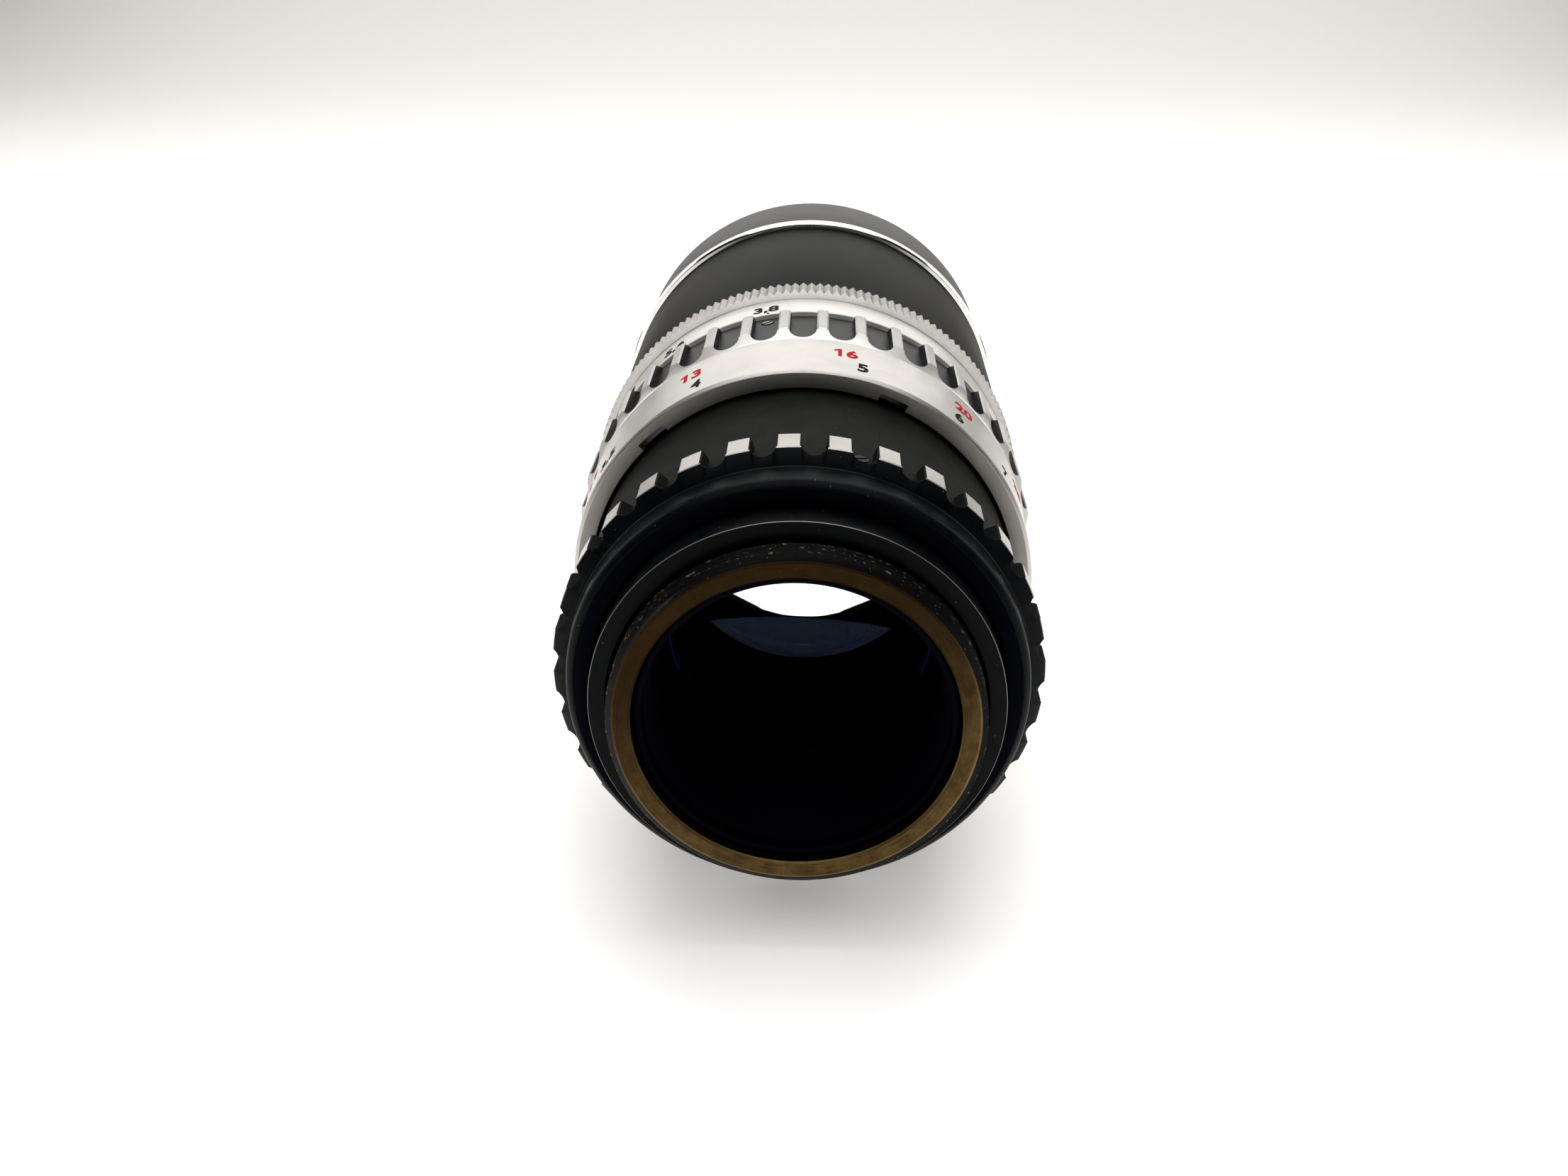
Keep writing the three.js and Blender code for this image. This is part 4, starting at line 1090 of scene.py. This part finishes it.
def dress_cad():
    """Give the CAD nodes that still show a proper finish."""
    finishes = {
        "inner_black": inner_black, "steel": steel, "blade_steel": blade_steel,
        "black_metal": black_coat, "brass": brass,
    }
    slots = {part["node"]: part["material_slot"] for part in frame["record"]["subparts"]}
    for name, obj in frame["nodes"].items():
        if obj.hide_render:
            continue
        for holder in obj.material_slots:
            holder.material = finishes.get(slots[name], dull_silver)


mount_parts()
fixed_parts()
sleeve_parts()
distance_numbers()
stop_numbers()
screw_parts()
ring_parts()
front_parts()
glass_parts()
cell_parts()
dress_cad()


# ------------------------------------------------------------------ studio

FLOOR_WIDTH, FLOOR_REAR, FLOOR_FRONT = 3.2, -1.2, 0.55
BACKDROP_RADIUS, BACKDROP_TOP = 0.35, 1.6
FLOOR_DROP = 0.0002  # below the lens, so that the two don't share a plane

# Fitted to the rear circles of the lens in the photo.
CAMERA_AT = (2.76 * MM, MOUNT_END - 134.39 * MM, AXIS_Z + 86.18 * MM)
CAMERA_DOWN = math.radians(27.16)
CAMERA_AZIMUTH = math.radians(-1.73)
CAMERA_LENS = 33.53


def floor():
    """Pale floor that curves up into a backdrop in front of the lens; it glows as painted light,
    and its glow and colour fall off towards the backdrop as painted shade.
    """
    bm = bmesh.new()
    outline = [(FLOOR_REAR, 0.0), (FLOOR_FRONT, 0.0)]
    for s in range(1, 13):
        a = math.radians(90 * s / 12)
        outline.append((FLOOR_FRONT + BACKDROP_RADIUS * math.sin(a),
                        BACKDROP_RADIUS * (1 - math.cos(a))))
    outline.append((FLOOR_FRONT + BACKDROP_RADIUS, BACKDROP_TOP))
    rows = [[bm.verts.new((side * FLOOR_WIDTH / 2, y, z - FLOOR_DROP)) for y, z in outline]
            for side in (-1, 1)]
    for j in range(len(outline) - 1):
        bm.faces.new((rows[0][j], rows[1][j], rows[1][j + 1], rows[0][j + 1]))

    n = Nodes("studio_white")
    split = n.add("ShaderNodeSeparateXYZ")
    n.link(n.metres, split.inputs[0])
    # Painted shade: darker and dimmer farther back towards the backdrop; the glow itself is painted
    # light.
    away = n.ramp(split.outputs[1], 0.05, 0.75)
    near = n.blend(n.noise(n.metres, 3.0, 3.0), (0.86, 0.85, 0.845), (0.90, 0.895, 0.89))
    n.set(Base_Color=n.blend(away, near, (0.66, 0.635, 0.61)), Roughness=0.7)
    n.set(Emission_Color=(1.0, 0.975, 0.95), Emission_Strength=n.span(away, 0.24, 0.13))
    finish_mesh("studio_floor", bm, [n.material])


def area_light(name, location, target, size, power):
    data = bpy.data.lights.new(name, "AREA")
    data.shape = "RECTANGLE"
    data.size, data.size_y = size
    data.energy = power
    obj = show(name, data)
    obj.location = location
    aim = Vector(target) - Vector(location)
    obj.rotation_euler = aim.to_track_quat("-Z", "Y").to_euler()


def world():
    """Pale surroundings, brighter in front of the lens than behind the camera."""
    made = bpy.data.worlds.new("studio_world")
    bpy.context.scene.world = made
    made.use_nodes = True
    nodes, links = made.node_tree.nodes, made.node_tree.links
    background = nodes["Background"]
    split = nodes.new("ShaderNodeSeparateXYZ")
    links.new(nodes.new("ShaderNodeTexCoord").outputs["Generated"], split.inputs[0])
    ramp = nodes.new("ShaderNodeMapRange")
    ramp.interpolation_type = "SMOOTHSTEP"
    for key, value in (("From Min", -0.2), ("From Max", 0.6), ("To Min", 0.02), ("To Max", 0.8)):
        ramp.inputs[key].default_value = value
    links.new(split.outputs[1], ramp.inputs["Value"])
    links.new(ramp.outputs["Result"], background.inputs["Strength"])
    background.inputs["Color"].default_value = (1.0, 0.985, 0.975, 1.0)


def camera():
    data = bpy.data.cameras.new("camera")
    data.lens = CAMERA_LENS
    data.sensor_width = 36.0
    data.clip_start = 0.005
    obj = show("camera", data)
    obj.location = CAMERA_AT
    aim = Vector((math.sin(CAMERA_AZIMUTH) * math.cos(CAMERA_DOWN),
                  math.cos(CAMERA_AZIMUTH) * math.cos(CAMERA_DOWN), -math.sin(CAMERA_DOWN)))
    obj.rotation_euler = aim.to_track_quat("-Z", "Y").to_euler()
    bpy.context.scene.camera = obj


floor()
world()
camera()
area_light("top_soft", (0.0, 0.12, 0.62), (0.0, 0.02, 0.03), (0.6, 0.5), 2.1)
area_light("back_soft", (0.0, 0.62, 0.40), (0.0, 0.0, 0.03), (0.9, 0.7), 1.8)
area_light("rear_soft", (0.0, -0.26, 0.46), (0.0, 0.0, 0.05), (0.6, 0.4), 0.9)
area_light("left_soft", (-0.6, 0.1, 0.30), (0.0, 0.0, 0.03), (0.4, 0.4), 1.0)
area_light("right_soft", (0.6, 0.1, 0.30), (0.0, 0.0, 0.03), (0.4, 0.4), 1.0)
bpy.context.scene.view_settings.view_transform = "Standard"
bpy.context.scene.view_settings.look = "Medium High Contrast"
